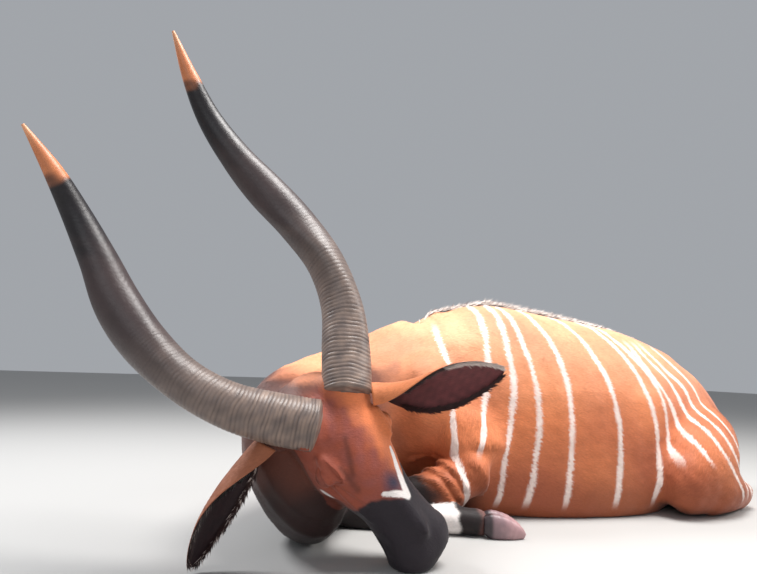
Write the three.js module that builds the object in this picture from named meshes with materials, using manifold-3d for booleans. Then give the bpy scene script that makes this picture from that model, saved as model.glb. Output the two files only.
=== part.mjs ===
import * as THREE from 'three';
import { mergeVertices } from 'three/addons/utils/BufferGeometryUtils.js';
import Module from 'manifold-3d';

// A bull bongo antelope lying on its brisket, neck bent to its left, muzzle on the floor.
// Millimetres, +Z up, -X towards the chest, -Y the animal's left side, floor at z = 0.
// The origin is on the floor under the middle of the belly.

const wasm = await Module();
wasm.setup();

// driving sizes
const withersHeight = 590;
const chestEnd = -700;
const rumpEnd = 505;
const barrelHalfWidth = 262;
const skullLength = 366;
const faceHalfWidth = 90;
const muzzleHalfWidth = 72;
const hornBaseRadius = 47;
const earLength = 250;
const earHalfWidth = 66;
const eyeRadius = 19;
const hoofLength = 82;
const clawHalfWidth = 16;
const partGap = 0.3;
const simplifyBy = 0.08;

// where the head is and how it is turned: nose direction and the direction of its left side
const hornCentre = new THREE.Vector3(-983, -510, 308);
const noseAim = new THREE.Vector3(0.646, -0.163, -0.746).normalize();
const leftAim = new THREE.Vector3(0.759, 0.240, 0.605);

function headMatrix() {
  const left = leftAim.clone().addScaledVector(noseAim, -leftAim.dot(noseAim)).normalize();
  const dorsal = new THREE.Vector3().crossVectors(noseAim, left);
  return new THREE.Matrix4().makeBasis(noseAim, left, dorsal).setPosition(hornCentre);
}
const toHead = headMatrix();

// seeded numbers for small variation between like pieces
function seeded(seed) {
  let state = seed;
  return () => {
    state = (state * 1664525 + 1013904223) % 4294967296;
    return state / 4294967296;
  };
}

// closed mesh and manifold solid, both ways
function toSolid(geometry) {
  const plain = geometry.clone();
  plain.deleteAttribute('normal');
  plain.deleteAttribute('uv');
  const merged = mergeVertices(plain, 1e-4);
  const vertProperties = new Float32Array(merged.attributes.position.array);
  const triVerts = new Uint32Array(merged.index.array);
  return new wasm.Manifold(new wasm.Mesh({ numProp: 3, vertProperties, triVerts }));
}

function toGeometry(solid) {
  const mesh = solid.getMesh();
  const geometry = new THREE.BufferGeometry();
  const count = mesh.vertProperties.length / mesh.numProp;
  const positions = new Float32Array(count * 3);
  for (let i = 0; i < count; i += 1) {
    for (let k = 0; k < 3; k += 1) positions[3 * i + k] = mesh.vertProperties[i * mesh.numProp + k];
  }
  geometry.setAttribute('position', new THREE.BufferAttribute(positions, 3));
  geometry.setIndex(new THREE.BufferAttribute(new Uint32Array(mesh.triVerts), 1));
  geometry.computeVertexNormals();
  return geometry;
}

function largest(solid) {
  const pieces = solid.decompose();
  pieces.sort((a, b) => b.volume() - a.volume());
  return pieces[0];
}

function join(solids) {
  return solids.reduce((sum, next) => sum.add(next));
}

// smooth value between the stations of a list
function smooth(values, t) {
  const last = values.length - 1;
  const x = Math.min(Math.max(t, 0), 1) * last;
  const i = Math.min(Math.floor(x), last - 1);
  const f = x - i;
  const a = values[Math.max(i - 1, 0)];
  const b = values[i];
  const c = values[i + 1];
  const d = values[Math.min(i + 2, last)];
  return 0.5 * (2 * b + (c - a) * f + (2 * a - 5 * b + 4 * c - d) * f * f + (3 * b - a - 3 * c + d) * f ** 3);
}

function power(value, exponent) {
  return Math.sign(value) * Math.abs(value) ** exponent;
}

// A body lofted along stations: at = centre, wide = half width, up and down = half heights.
// lift is the direction of the section's top, square 2 is an ellipse and more is boxier.
function loft(stations, { rings = 24, sides = 24, grow = 0, shape = null } = {}) {
  const take = (pick, t) => smooth(stations.map(pick), t);
  const centre = (t) => new THREE.Vector3(
    take((s) => s.at[0], t), take((s) => s.at[1], t), take((s) => s.at[2], t));
  const points = [];
  const indices = [];
  const ends = [];
  for (let j = 0; j <= rings; j += 1) {
    const t = j / rings;
    const here = centre(t);
    const step = 0.5 / rings;
    const along = centre(Math.min(t + step, 1)).sub(centre(Math.max(t - step, 0))).normalize();
    const lift = new THREE.Vector3(
      take((s) => (s.lift ?? [0, 0, 1])[0], t),
      take((s) => (s.lift ?? [0, 0, 1])[1], t),
      take((s) => (s.lift ?? [0, 0, 1])[2], t));
    lift.addScaledVector(along, -lift.dot(along)).normalize();
    if (j === 0) here.addScaledVector(along, -grow);
    if (j === rings) here.addScaledVector(along, grow);
    if (j === 0 || j === rings) ends.push(here.clone());
    const side = new THREE.Vector3().crossVectors(along, lift);
    const wide = take((s) => s.wide, t) + grow;
    const up = take((s) => s.up, t) + grow;
    const down = take((s) => s.down ?? s.up, t) + grow;
    const squareTop = 2 / take((s) => s.square ?? 2, t);
    const squareBase = 2 / take((s) => s.base ?? s.square ?? 2, t);
    for (let i = 0; i < sides; i += 1) {
      const angle = (2 * Math.PI * i) / sides;
      const factor = shape ? shape(t, angle) : 1;
      const square = Math.sin(angle) > 0 ? squareTop : squareBase;
      const across = power(Math.cos(angle), square) * wide * factor;
      const high = power(Math.sin(angle), square) * (Math.sin(angle) > 0 ? up : down) * factor;
      const p = here.clone().addScaledVector(side, across).addScaledVector(lift, high);
      points.push(p.x, p.y, p.z);
    }
  }
  for (let j = 0; j < rings; j += 1) {
    for (let i = 0; i < sides; i += 1) {
      const a = j * sides + i;
      const b = j * sides + ((i + 1) % sides);
      indices.push(a, a + sides, b, b, a + sides, b + sides);
    }
  }
  const first = points.length / 3;
  for (const end of ends) points.push(end.x, end.y, end.z);
  for (let i = 0; i < sides; i += 1) {
    const next = (i + 1) % sides;
    indices.push(first, i, next);
    indices.push(first + 1, rings * sides + next, rings * sides + i);
  }
  const geometry = new THREE.BufferGeometry();
  geometry.setAttribute('position', new THREE.Float32BufferAttribute(points, 3));
  geometry.setIndex(indices);
  const solid = toSolid(geometry);
  return solid.volume() < 0 ? toSolid(flip(geometry)) : solid;
}

function flip(geometry) {
  const turned = geometry.clone();
  const index = Array.from(turned.index.array);
  for (let i = 0; i < index.length; i += 3) [index[i], index[i + 1]] = [index[i + 1], index[i]];
  turned.setIndex(index);
  return turned;
}

function ball(centre, radii, turn = null, widthSegments = 10, heightSegments = 6) {
  const geometry = new THREE.SphereGeometry(1, widthSegments, heightSegments);
  geometry.scale(radii[0], radii[1], radii[2]);
  if (turn) geometry.applyMatrix4(turn);
  geometry.translate(centre[0], centre[1], centre[2]);
  return toSolid(geometry);
}

function block(low, high) {
  const size = high.map((value, i) => value - low[i]);
  const geometry = new THREE.BoxGeometry(size[0], size[1], size[2]);
  geometry.translate(low[0] + size[0] / 2, low[1] + size[1] / 2, low[2] + size[2] / 2);
  return toSolid(geometry);
}

// everything above the floor; the flats that the animal rests on come from this cut
const aboveFloor = block([-2000, -1500, 0], [1500, 1500, 2000]);

// the side of a plane that lies towards its normal, as a large slab
function halfSpace(point, normal) {
  const geometry = new THREE.BoxGeometry(3000, 3000, 3000);
  geometry.translate(0, 0, 1500);
  const turn = new THREE.Quaternion().setFromUnitVectors(new THREE.Vector3(0, 0, 1), normal.clone().normalize());
  geometry.applyQuaternion(turn);
  geometry.translate(point.x, point.y, point.z);
  return toSolid(geometry);
}

function mirrored(stations) {
  return stations.map((s) => ({
    ...s,
    at: [s.at[0], -s.at[1], s.at[2]],
    lift: s.lift ? [s.lift[0], -s.lift[1], s.lift[2]] : undefined,
  }));
}

function inHead(solid) {
  return solid.transform(toHead.elements.slice());
}

// trunk: brisket, ribs, belly and croup
const trunkStations = [
  { at: [chestEnd, 0, 250], wide: 50, up: 60, down: 90 },
  { at: [chestEnd + 35, 0, 250], wide: 120, up: 205, down: 200 },
  { at: [-570, 0, 245], wide: 200, up: 308, down: 262, base: 2.4 },
  { at: [-400, 0, 235], wide: 240, up: withersHeight - 235, down: 270, base: 3 },
  { at: [-230, 0, 230], wide: 262, up: 340, down: 275, square: 2.05, base: 4 },
  { at: [-60, 0, 225], wide: barrelHalfWidth + 10, up: 325, down: 272, square: 2.1, base: 4.2 },
  { at: [60, 0, 222], wide: barrelHalfWidth, up: 312, down: 262, square: 2.1, base: 3.6 },
  { at: [160, 0, 220], wide: 240, up: 288, down: 240, base: 2.8 },
  { at: [250, 0, 215], wide: 212, up: 255, down: 222 },
  { at: [330, 0, 210], wide: 182, up: 208, down: 210 },
  { at: [400, 0, 200], wide: 145, up: 150, down: 180 },
  { at: [460, 0, 190], wide: 100, up: 85, down: 120 },
  { at: [rumpEnd, 0, 185], wide: 30, up: 22, down: 30 },
];

function trunk(grow) {
  return loft(trunkStations, { rings: 20, sides: 22, grow });
}

// neck: from the shoulders, round to the animal's left, to the back of the head
const neckStations = [
  { at: [-430, 0, 300], wide: 165, up: 250, down: 250 },
  { at: [-560, -2, 290], wide: 168, up: 268, down: 285 },
  { at: [-700, -15, 272], wide: 160, up: 226, down: 276 },
  { at: [-840, -70, 252], wide: 150, up: 190, down: 256 },
  { at: [-940, -165, 232], wide: 138, up: 176, down: 238, lift: [-0.1, 0, 1] },
  { at: [-1002, -270, 215], wide: 122, up: 168, down: 222, lift: [-0.2, 0, 1] },
  { at: [-1020, -350, 215], wide: 108, up: 150, down: 205, lift: [-0.35, 0, 1] },
  { at: [-1015, -395, 225], wide: 86, up: 112, down: 150, lift: [-0.5, 0, 1] },
  { at: [-1005, -425, 232], wide: 40, up: 50, down: 60, lift: [-0.5, 0, 1] },
];

function neckWhole(grow) {
  return loft(neckStations, { rings: 14, sides: 20, grow });
}

// head in its own frame: x to the nose, y to its left, z to the forehead
const headStations = [
  { at: [-88, 0, -82], wide: 30, up: 26, down: 40 },
  { at: [-66, 0, -84], wide: 66, up: 58, down: 78, square: 2.1 },
  { at: [-30, 0, -90], wide: 82, up: 84, down: 104, square: 2.3 },
  { at: [20, 0, -96], wide: faceHalfWidth - 3, up: 98, down: 110, square: 2.5 },
  { at: [70, 0, -94], wide: faceHalfWidth - 2, up: 100, down: 110, square: 2.6 },
  { at: [120, 0, -92], wide: 80, up: 90, down: 98, square: 2.6 },
  { at: [170, 0, -92], wide: 67, up: 78, down: 80, square: 2.6 },
  { at: [220, 0, -90], wide: 59, up: 66, down: 67, square: 2.6 },
  { at: [274, 0, -90], wide: 61, up: 57, down: 60, square: 2.6 },
  { at: [318, 0, -92], wide: muzzleHalfWidth, up: 50, down: 56, square: 2.5 },
  { at: [skullLength - 14, 0, -96], wide: 56, up: 39, down: 42, square: 2.4 },
  { at: [skullLength, 0, -98], wide: 18, up: 15, down: 15 },
];

const eyePlace = [91, 76, -40];

function headBase() {
  const skull = loft(headStations, { rings: 18, sides: 16 });
  const brows = [1, -1].map((side) => ball([84, side * 70, -24], [38, 25, 20]));
  const cheeks = [1, -1].map((side) => ball([92, side * 64, -98], [62, 26, 46]));
  const jaws = [1, -1].map((side) => ball([6, side * 54, -130], [60, 32, 58]));
  const pedicles = [1, -1].map((side) => ball([-8, side * 50, -24], [54, 50, 34]));
  const bridge = ball([200, 0, -30], [110, 24, 14]);
  return join([skull, ...brows, ...cheeks, ...jaws, ...pedicles, bridge]);
}

// nostril hollows, and the line of the mouth along each side and round the front
function nostril(side) {
  const stations = [
    { at: [skullLength + 4, side * 24, -88], wide: 4, up: 4 },
    { at: [skullLength - 6, side * 32, -82], wide: 8, up: 6 },
    { at: [skullLength - 24, side * 46, -78], wide: 7, up: 5 },
    { at: [skullLength - 40, side * 62, -76], wide: 4, up: 3 },
  ];
  return loft(stations, { rings: 6, sides: 8 });
}

function mouthCut() {
  const shape = new THREE.Shape();
  shape.moveTo(skullLength + 30, -114);
  shape.lineTo(skullLength - 110, -117);
  shape.lineTo(skullLength + 30, -118.4);
  shape.closePath();
  const geometry = new THREE.ExtrudeGeometry(shape, { depth: 160, bevelEnabled: false });
  geometry.rotateX(Math.PI / 2);
  geometry.translate(0, 80, 0);
  const cut = toSolid(geometry);
  const core = loft([
    { at: [200, 0, -112], wide: 46, up: 40 },
    { at: [290, 0, -112], wide: 56, up: 40 },
    { at: [skullLength - 16, 0, -112], wide: 44, up: 40 },
    { at: [skullLength - 5, 0, -112], wide: 24, up: 40 },
  ], { rings: 8, sides: 16 });
  return cut.subtract(core);
}

// lids: a hood over the ball that leaves a low slit, heavier above
function lids(side) {
  const [x, y, z] = eyePlace;
  const outer = ball([x, side * y, z], [eyeRadius + 7, eyeRadius + 3.5, eyeRadius + 4]);
  const inner = ball([x, side * y, z], [eyeRadius + partGap, eyeRadius + partGap, eyeRadius + partGap]);
  const slit = ball([x, side * (y + 20), z - 5], [21, 20, 5.5]);
  return { outer, inner, slit };
}

function headWhole() {
  let head = headBase();
  for (const side of [1, -1]) {
    const { outer, inner, slit } = lids(side);
    head = head.add(outer).subtract(inner).subtract(slit).subtract(nostril(side));
  }
  return largest(inHead(head.subtract(mouthCut())));
}

function eye(side) {
  const [x, y, z] = eyePlace;
  return inHead(ball([x, side * y, z], [eyeRadius, eyeRadius, eyeRadius]));
}

// horn centre lines in the head's frame: distance ahead, half separation, drop behind the face
const hornLines = {
  left: [
    [4, 44, -19], [-67, 107, -24], [-146, 169, -27], [-240, 206, -29], [-343, 217, -38],
    [-443, 210, -37], [-539, 200, -26], [-632, 198, -6], [-715, 205, 30], [-800, 219, 72],
  ],
  right: [
    [15, 34, -22], [-55, 87, -42], [-131, 135, -58], [-217, 165, -71], [-310, 174, -79],
    [-405, 168, -78], [-496, 150, -63], [-583, 136, -40], [-660, 130, -2], [-740, 131, 36],
  ],
};
const hornRadii = [hornBaseRadius + 1, hornBaseRadius, 43, 41, 42, 41, 34, 26, 17, 3];
const hornTurns = 0.9;

// three dull keels wind round the horn, and rings stand up on its lower third
function horn(side, grow = 0) {
  const line = side > 0 ? hornLines.left : hornLines.right;
  const stations = line.map((p, i) => ({
    at: [p[0], side * p[1], p[2]], wide: hornRadii[i], up: hornRadii[i], lift: [0, 0, 1],
  }));
  const keel = (t, angle) => {
    const twist = angle - side * 2 * Math.PI * hornTurns * t;
    const ridge = Math.max(0, Math.cos(twist)) ** 6 * 0.16 + Math.max(0, Math.cos(twist + 2.4)) ** 6 * 0.06;
    const rings = t < 0.42 ? 0.02 * Math.sin(t * 150) * (1 - t / 0.42) : 0;
    return 1 + ridge * Math.sin(Math.PI * Math.min(1, t * 1.3 + 0.12)) + rings;
  };
  return loft(stations, { rings: 28, sides: 12, grow, shape: keel });
}

// ear in its own frame: a cupped leaf, root at the origin, tip along +X, hollow towards +Z
function earLeaf(length, halfWidth, { twist, bow }, grow = 0) {
  const rings = 9;
  const sides = 6;
  const points = [];
  const indices = [];
  const wall = 3.2 + grow;
  for (const layer of [1, -1]) {
    for (let j = 0; j <= rings; j += 1) {
      const t = j / rings;
      const x = length * t;
      const spread = halfWidth * (0.5 + 0.5 * Math.sin(Math.PI * Math.min(1, 0.12 + t * 0.8)) ** 0.9)
        * Math.sqrt(Math.max(0.0009, 1 - t ** 2.6)) + grow;
      const curl = 2.5 * (1 - t) ** 1.3 + 0.75;
      const turn = twist * (1 - t) ** 1.5;
      for (let i = 0; i <= sides; i += 1) {
        const s = (2 * i) / sides - 1;
        const angle = s * curl * 0.5;
        const radius = spread / Math.max(curl * 0.5, 0.2);
        const edge = Math.sqrt(Math.max(0.05, 1 - s * s));
        const half = layer * wall * (0.35 + 0.65 * edge) * (1 - 0.6 * t);
        const r = radius - half;
        const y = r * Math.sin(angle);
        const z = radius - r * Math.cos(angle) + bow * Math.sin(Math.PI * t) - 20;
        points.push(x, y * Math.cos(turn) - z * Math.sin(turn), y * Math.sin(turn) + z * Math.cos(turn) + 20);
      }
    }
  }
  const row = sides + 1;
  const inner = (rings + 1) * row;
  const quad = (a, b, c, d) => indices.push(a, b, c, a, c, d);
  for (let j = 0; j < rings; j += 1) {
    for (let i = 0; i < sides; i += 1) {
      const a = j * row + i;
      quad(a, a + row, a + row + 1, a + 1);
      quad(inner + a, inner + a + 1, inner + a + row + 1, inner + a + row);
    }
    const left = j * row;
    const right = j * row + sides;
    quad(left, inner + left, inner + left + row, left + row);
    quad(right, right + row, inner + right + row, inner + right);
  }
  for (let i = 0; i < sides; i += 1) {
    const low = i;
    const high = rings * row + i;
    quad(low, low + 1, inner + low + 1, inner + low);
    quad(high, inner + high, inner + high + 1, high + 1);
  }
  const geometry = new THREE.BufferGeometry();
  geometry.setAttribute('position', new THREE.Float32BufferAttribute(points, 3));
  geometry.setIndex(indices);
  const solid = toSolid(geometry);
  return solid.volume() < 0 ? toSolid(flip(geometry)) : solid;
}

// root and tip of each ear in the world, the way its hollow faces at the tip,
// its twist at the root and its bow towards the hollow side
const earPlaces = {
  left: { root: [-890, -452, 338], tip: [-622, -520, 386], hollow: [-0.1, -0.93, -0.36], twist: 1.9, bow: 14 },
  right: { root: [-1104, -440, 240], tip: [-1216, -424, 10], hollow: [0.75, -0.6, -0.3], twist: -1.0, bow: -20 },
};

function earMatrix({ root, tip, hollow }) {
  const start = new THREE.Vector3(...root);
  const along = new THREE.Vector3(...tip).sub(start).normalize();
  const open = new THREE.Vector3(...hollow);
  open.addScaledVector(along, -open.dot(along)).normalize();
  const across = new THREE.Vector3().crossVectors(open, along);
  return new THREE.Matrix4().makeBasis(along, across, open).setPosition(start);
}

function ear(side, grow = 0) {
  const place = earPlaces[side];
  const length = new THREE.Vector3(...place.tip).distanceTo(new THREE.Vector3(...place.root));
  const leaf = earLeaf(Math.max(length, earLength), earHalfWidth, place, grow);
  const stem = loft([
    { at: [-46, 0, 20], wide: 12, up: 12 },
    { at: [-30, 0, 20], wide: 22, up: 20 },
    { at: [0, 0, 20], wide: 25, up: 22 },
    { at: [20, 0, 18], wide: 20, up: 16 },
    { at: [30, 0, 16], wide: 8, up: 8 },
  ], { rings: 4, sides: 8, grow });
  return leaf.add(stem).transform(earMatrix(place).elements.slice());
}

// foreleg folded under the chest: shoulder and forearm, then shank and foot lying back
const forelegUpper = [
  { at: [-500, -90, 380], wide: 30, up: 40, lift: [1, 0, 0.2] },
  { at: [-520, -122, 320], wide: 66, up: 90, lift: [1, 0, 0.2] },
  { at: [-530, -172, 220], wide: 80, up: 108, lift: [1, 0, 0.5] },
  { at: [-535, -212, 130], wide: 74, up: 88, lift: [1, 0, 1] },
  { at: [-600, -224, 98], wide: 56, up: 62, lift: [0.3, 0, 1] },
  { at: [-690, -210, 78], wide: 46, up: 46, down: 44 },
  { at: [-780, -184, 66], wide: 36, up: 34, down: 36 },
  { at: [-835, -166, 52], wide: 38, up: 36, down: 52 },
  { at: [-872, -156, 44], wide: 28, up: 26, down: 44 },
  { at: [-884, -153, 42], wide: 8, up: 8, down: 10 },
];
const forelegLower = [
  { at: [-876, -176, 28], wide: 10, up: 10, down: 12 },
  { at: [-862, -182, 28], wide: 28, up: 24, down: 29 },
  { at: [-810, -206, 28], wide: 26, up: 23, down: 29 },
  { at: [-735, -240, 28], wide: 25, up: 23, down: 29 },
  { at: [-670, -268, 30], wide: 30, up: 28, down: 31 },
  { at: [-630, -284, 33], wide: 36, up: 33, down: 34 },
  { at: [-590, -302, 34], wide: 32, up: 31, down: 35 },
  { at: [-562, -314, 34], wide: 34, up: 32, down: 35 },
  { at: [-548, -320, 34], wide: 28, up: 26, down: 30 },
];

// hind leg: haunch and thigh, then hock and shank tucked under it, foot pointing forward
const hindUpper = [
  { at: [330, -70, 250], wide: 40, up: 60, lift: [-1, 0, 0.4] },
  { at: [310, -110, 240], wide: 84, up: 100, lift: [-1, 0, 0.4] },
  { at: [280, -155, 212], wide: 100, up: 122, lift: [-1, 0, 0.5] },
  { at: [225, -205, 172], wide: 104, up: 128, lift: [-0.7, 0, 0.8] },
  { at: [160, -242, 136], wide: 100, up: 112, down: 142, lift: [-0.3, 0, 1] },
  { at: [95, -268, 104], wide: 84, up: 82, down: 112, lift: [-0.1, 0, 1] },
  { at: [48, -276, 86], wide: 56, up: 52, down: 72 },
  { at: [30, -276, 82], wide: 14, up: 14, down: 16 },
];
const hindShank = [
  { at: [110, -254, 105], wide: 60, up: 50, down: 60 },
  { at: [190, -268, 92], wide: 70, up: 60, down: 92 },
  { at: [265, -254, 76], wide: 58, up: 54, down: 76 },
  { at: [335, -228, 60], wide: 44, up: 44, down: 60 },
  { at: [385, -208, 50], wide: 36, up: 36, down: 50 },
  { at: [412, -198, 46], wide: 20, up: 20, down: 28 },
  { at: [420, -196, 45], wide: 7, up: 7, down: 8 },
];
const hindLower = [
  { at: [405, -168, 34], wide: 12, up: 12, down: 14 },
  { at: [388, -164, 34], wide: 30, up: 28, down: 34 },
  { at: [330, -158, 30], wide: 26, up: 26, down: 31 },
  { at: [250, -150, 27], wide: 24, up: 23, down: 28 },
  { at: [180, -146, 28], wide: 27, up: 25, down: 29 },
  { at: [140, -144, 30], wide: 32, up: 28, down: 31 },
  { at: [104, -144, 30], wide: 28, up: 26, down: 31 },
  { at: [78, -146, 30], wide: 31, up: 27, down: 31 },
  { at: [64, -147, 30], wide: 24, up: 22, down: 26 },
];

// one claw of a cloven hoof: heel behind, toe at the end, flat underneath
function claw(heel, toe, side, grow) {
  const from = new THREE.Vector3(...heel);
  const aim = new THREE.Vector3(...toe).sub(from).setZ(0).normalize();
  const across = new THREE.Vector3(-aim.y, aim.x, 0);
  const spread = clawHalfWidth + 1.5;
  const at = (distance, z, inward = 0) => [
    from.x + aim.x * distance + across.x * side * (spread - inward),
    from.y + aim.y * distance + across.y * side * (spread - inward), z];
  const stations = [
    { at: at(0, 28), wide: 12, up: 19, down: 20 },
    { at: at(12, 28), wide: clawHalfWidth, up: 27, down: 30, square: 2.4 },
    { at: at(hoofLength * 0.45, 24), wide: clawHalfWidth, up: 24, down: 28, square: 2.4 },
    { at: at(hoofLength * 0.8, 16, 3), wide: 11, up: 15, down: 20, square: 2.3 },
    { at: at(hoofLength, 7, 6), wide: 3, up: 5, down: 8 },
  ];
  return loft(stations, { rings: 6, sides: 8, grow });
}

function dewclaw(x, y, grow) {
  return ball([x, y, 17], [11 + grow, 8 + grow, 9 + grow], null, 8, 6);
}

// tail laid along the floor behind the rump, with its tuft
const tailStations = [
  { at: [430, 0, 262], wide: 30, up: 26 },
  { at: [490, 0, 262], wide: 27, up: 24 },
  { at: [550, 8, 222], wide: 22, up: 20 },
  { at: [588, 22, 150], wide: 18, up: 17 },
  { at: [612, 44, 80], wide: 16, up: 15 },
  { at: [640, 74, 36], wide: 18, up: 17 },
  { at: [676, 112, 20], wide: 22, up: 15, down: 24 },
  { at: [716, 152, 15], wide: 20, up: 10, down: 18 },
  { at: [750, 186, 11], wide: 10, up: 6, down: 12 },
  { at: [765, 200, 8], wide: 3, up: 3 },
];

// one flat tapered lock of hair, its root sunk into what it grows from
function lock(root, aim, across, { length, width, thickness, sink, bend }) {
  const start = new THREE.Vector3(...root);
  const along = new THREE.Vector3(...aim).normalize();
  const side = new THREE.Vector3(...across).normalize();
  const curl = new THREE.Vector3().crossVectors(side, along);
  const at = (distance, part) => start.clone().addScaledVector(along, distance)
    .addScaledVector(curl, bend * part * part).toArray();
  const flat = curl.toArray();
  const stations = [
    { at: at(-sink, 0), wide: width * 0.3, up: thickness * 0.4, lift: flat },
    { at: at(0, 0), wide: width * 0.5, up: thickness * 0.5, lift: flat },
    { at: at(length * 0.5, 0.5), wide: width * 0.42, up: thickness * 0.42, lift: flat },
    { at: at(length, 1), wide: width * 0.06, up: thickness * 0.12, lift: flat },
  ];
  return loft(stations, { rings: 3, sides: 5 });
}

// height of the trunk's top line at a place along it
function spineHeight(x) {
  const places = trunkStations.map((s) => s.at[0]);
  const tops = trunkStations.map((s) => s.at[2] + s.up);
  let low = 0;
  let high = 1;
  for (let i = 0; i < 40; i += 1) {
    const middle = (low + high) / 2;
    if (smooth(places, middle) < x) low = middle;
    else high = middle;
  }
  return smooth(tops, low);
}

// crest of longer hair along the spine, in two staggered rows that lie back towards the rump
const crestFrom = -600;
const crestTo = 330;
const crestStep = 38;

function crestLocks() {
  const random = seeded(7);
  const locks = [];
  const count = Math.floor((crestTo - crestFrom) / crestStep);
  for (let i = 0; i <= count; i += 1) {
    const x = crestFrom + i * crestStep;
    const along = i / count;
    const tall = 20 + 16 * Math.sin(Math.PI * Math.min(1, along * 1.25 + 0.08));
    const side = i % 2 === 0 ? 1 : -1;
    const lean = side * (0.16 + 0.14 * random());
    const y = side * 5;
    locks.push(lock([x, y, spineHeight(x) - 3], [0.75 + 0.2 * random(), lean, 0.62], [0.3 * side, 1, 0], {
      length: tall * (1.15 + 0.3 * random()), width: 24, thickness: 8, sink: 12, bend: -4,
    }));
  }
  return locks;
}

// the tail lies on the floor, and its tuft is a fan of overlapping locks
function tail(grow) {
  const random = seeded(23);
  const stem = loft(tailStations, { rings: 16, sides: 10, grow });
  const locks = [];
  const rows = 4;
  for (let row = 0; row < rows; row += 1) {
    const t = 0.60 + 0.09 * row;
    const places = [0, 1, 2].map((k) => smooth(tailStations.map((s) => s.at[k]), t));
    const ahead = [0, 1, 2].map((k) => smooth(tailStations.map((s) => s.at[k]), t + 0.05) - places[k]);
    const aim = new THREE.Vector3(...ahead).setZ(0).normalize();
    const across = new THREE.Vector3(-aim.y, aim.x, 0);
    const wide = smooth(tailStations.map((s) => s.wide), t);
    for (const turn of [-1, -0.4, 0.4, 1]) {
      const root = [
        places[0] + across.x * turn * wide * 0.6,
        places[1] + across.y * turn * wide * 0.6,
        places[2] + 4 * (1 - Math.abs(turn))];
      const spread = aim.clone().addScaledVector(across, turn * (0.28 + 0.1 * random()));
      locks.push(lock(root, [spread.x, spread.y, 0.02], [across.x, across.y, 0], {
        length: 78 + 30 * random(), width: 26, thickness: 14 + grow, sink: 10, bend: -5,
      }));
    }
  }
  return join([stem, ...locks]);
}

// parting planes of the neck
const neckToTrunk = { point: new THREE.Vector3(-640, 0, 300), normal: new THREE.Vector3(1, 0.12, 0.25) };
const neckToHead = {
  point: new THREE.Vector3(-24, 0, -122).applyMatrix4(toHead),
  normal: new THREE.Vector3(-0.79, 0, -0.61).transformDirection(toHead),
};

function cutPair(solid, plane) {
  const aim = plane.normal.clone().normalize();
  const ahead = halfSpace(plane.point.clone().addScaledVector(aim, partGap / 2), aim);
  const behind = halfSpace(plane.point.clone().addScaledVector(aim, -partGap / 2), aim.clone().negate());
  return [solid.intersect(ahead), solid.intersect(behind)];
}

// plain colours of the nodes
const colours = {
  coat: 0xb5623a, dark: 0x3a2420, horn: 0x5c5058, hoof: 0xb49aa4, eye: 0x2a2422, ear: 0x9a5a40,
};

const group = new THREE.Group();
function node(name, solid, colour, roughness = 0.8) {
  const material = new THREE.MeshStandardMaterial({ color: colour, roughness, metalness: 0 });
  const mesh = new THREE.Mesh(toGeometry(solid.simplify(simplifyBy)), material);
  mesh.name = name;
  group.add(mesh);
}

const onFloor = (solid) => largest(solid.intersect(aboveFloor));

// both legs of one side, exact or grown by the gap that parts them from their neighbours
function legPieces(y, grow) {
  const set = (stations) => (y < 0 ? stations : mirrored(stations));
  const frontDew = [286, 336].map((distance) => dewclaw(-588, y * distance, grow));
  const hindDew = [118, 171].map((distance) => dewclaw(110, y * distance, grow));
  const hooves = {};
  for (const [name, turn] of [['outer', 1], ['inner', -1]]) {
    hooves[`front_${name}`] = claw([-544, y * 322, 0], [-464, y * 350, 0], turn, grow);
    hooves[`hind_${name}`] = claw([60, y * 147, 0], [-22, y * 151, 0], turn, grow);
  }
  const front = loft(set(forelegLower), { rings: 11, sides: 9, grow });
  const hind = loft(set(hindLower), { rings: 10, sides: 9, grow });
  const thigh = loft(set(hindUpper), { rings: 10, sides: 16, grow });
  const shank = loft(set(hindShank), { rings: 10, sides: 12, grow });
  return {
    hooves,
    frontLower: join([front, ...frontDew]),
    hindLower: join([hind, ...hindDew]),
    frontUpper: loft(set(forelegUpper), { rings: 14, sides: 12, grow }),
    hindUpper: join([thigh, shank]),
  };
}

// the legs go first, and the trunk, neck and head are cut back from what meets them
const taken = [];
for (const [side, y] of [['left', -1], ['right', 1]]) {
  const exact = legPieces(y, 0);
  const grown = legPieces(y, partGap);
  const feet = join([grown.frontLower, grown.hindLower, ...Object.values(grown.hooves)]);
  for (const [name, solid] of Object.entries(exact.hooves)) {
    const foot = name.startsWith('front') ? grown.frontLower : grown.hindLower;
    const [place, claws] = name.split('_');
    node(`hoof_${place}_${side}_${claws}`, onFloor(solid.subtract(foot)), colours.hoof, 0.5);
  }
  node(`foreleg_lower_${side}`, onFloor(exact.frontLower), colours.dark);
  node(`hindleg_lower_${side}`, onFloor(exact.hindLower), colours.dark);
  node(`foreleg_upper_${side}`, onFloor(exact.frontUpper.subtract(feet)), colours.coat);
  node(`hindleg_upper_${side}`, onFloor(exact.hindUpper.subtract(feet)), colours.coat);
  taken.push(feet, grown.frontUpper, grown.hindUpper);
}

const hornsGrown = join([1, -1].map((side) => inHead(horn(side, partGap))));
const ears = {
  left: largest(ear('left').subtract(hornsGrown)),
  right: largest(ear('right').subtract(hornsGrown)),
};
taken.push(ear('left', partGap), ear('right', partGap), hornsGrown);
taken.push(tail(partGap));
const takenFromBody = join(taken);

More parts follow.
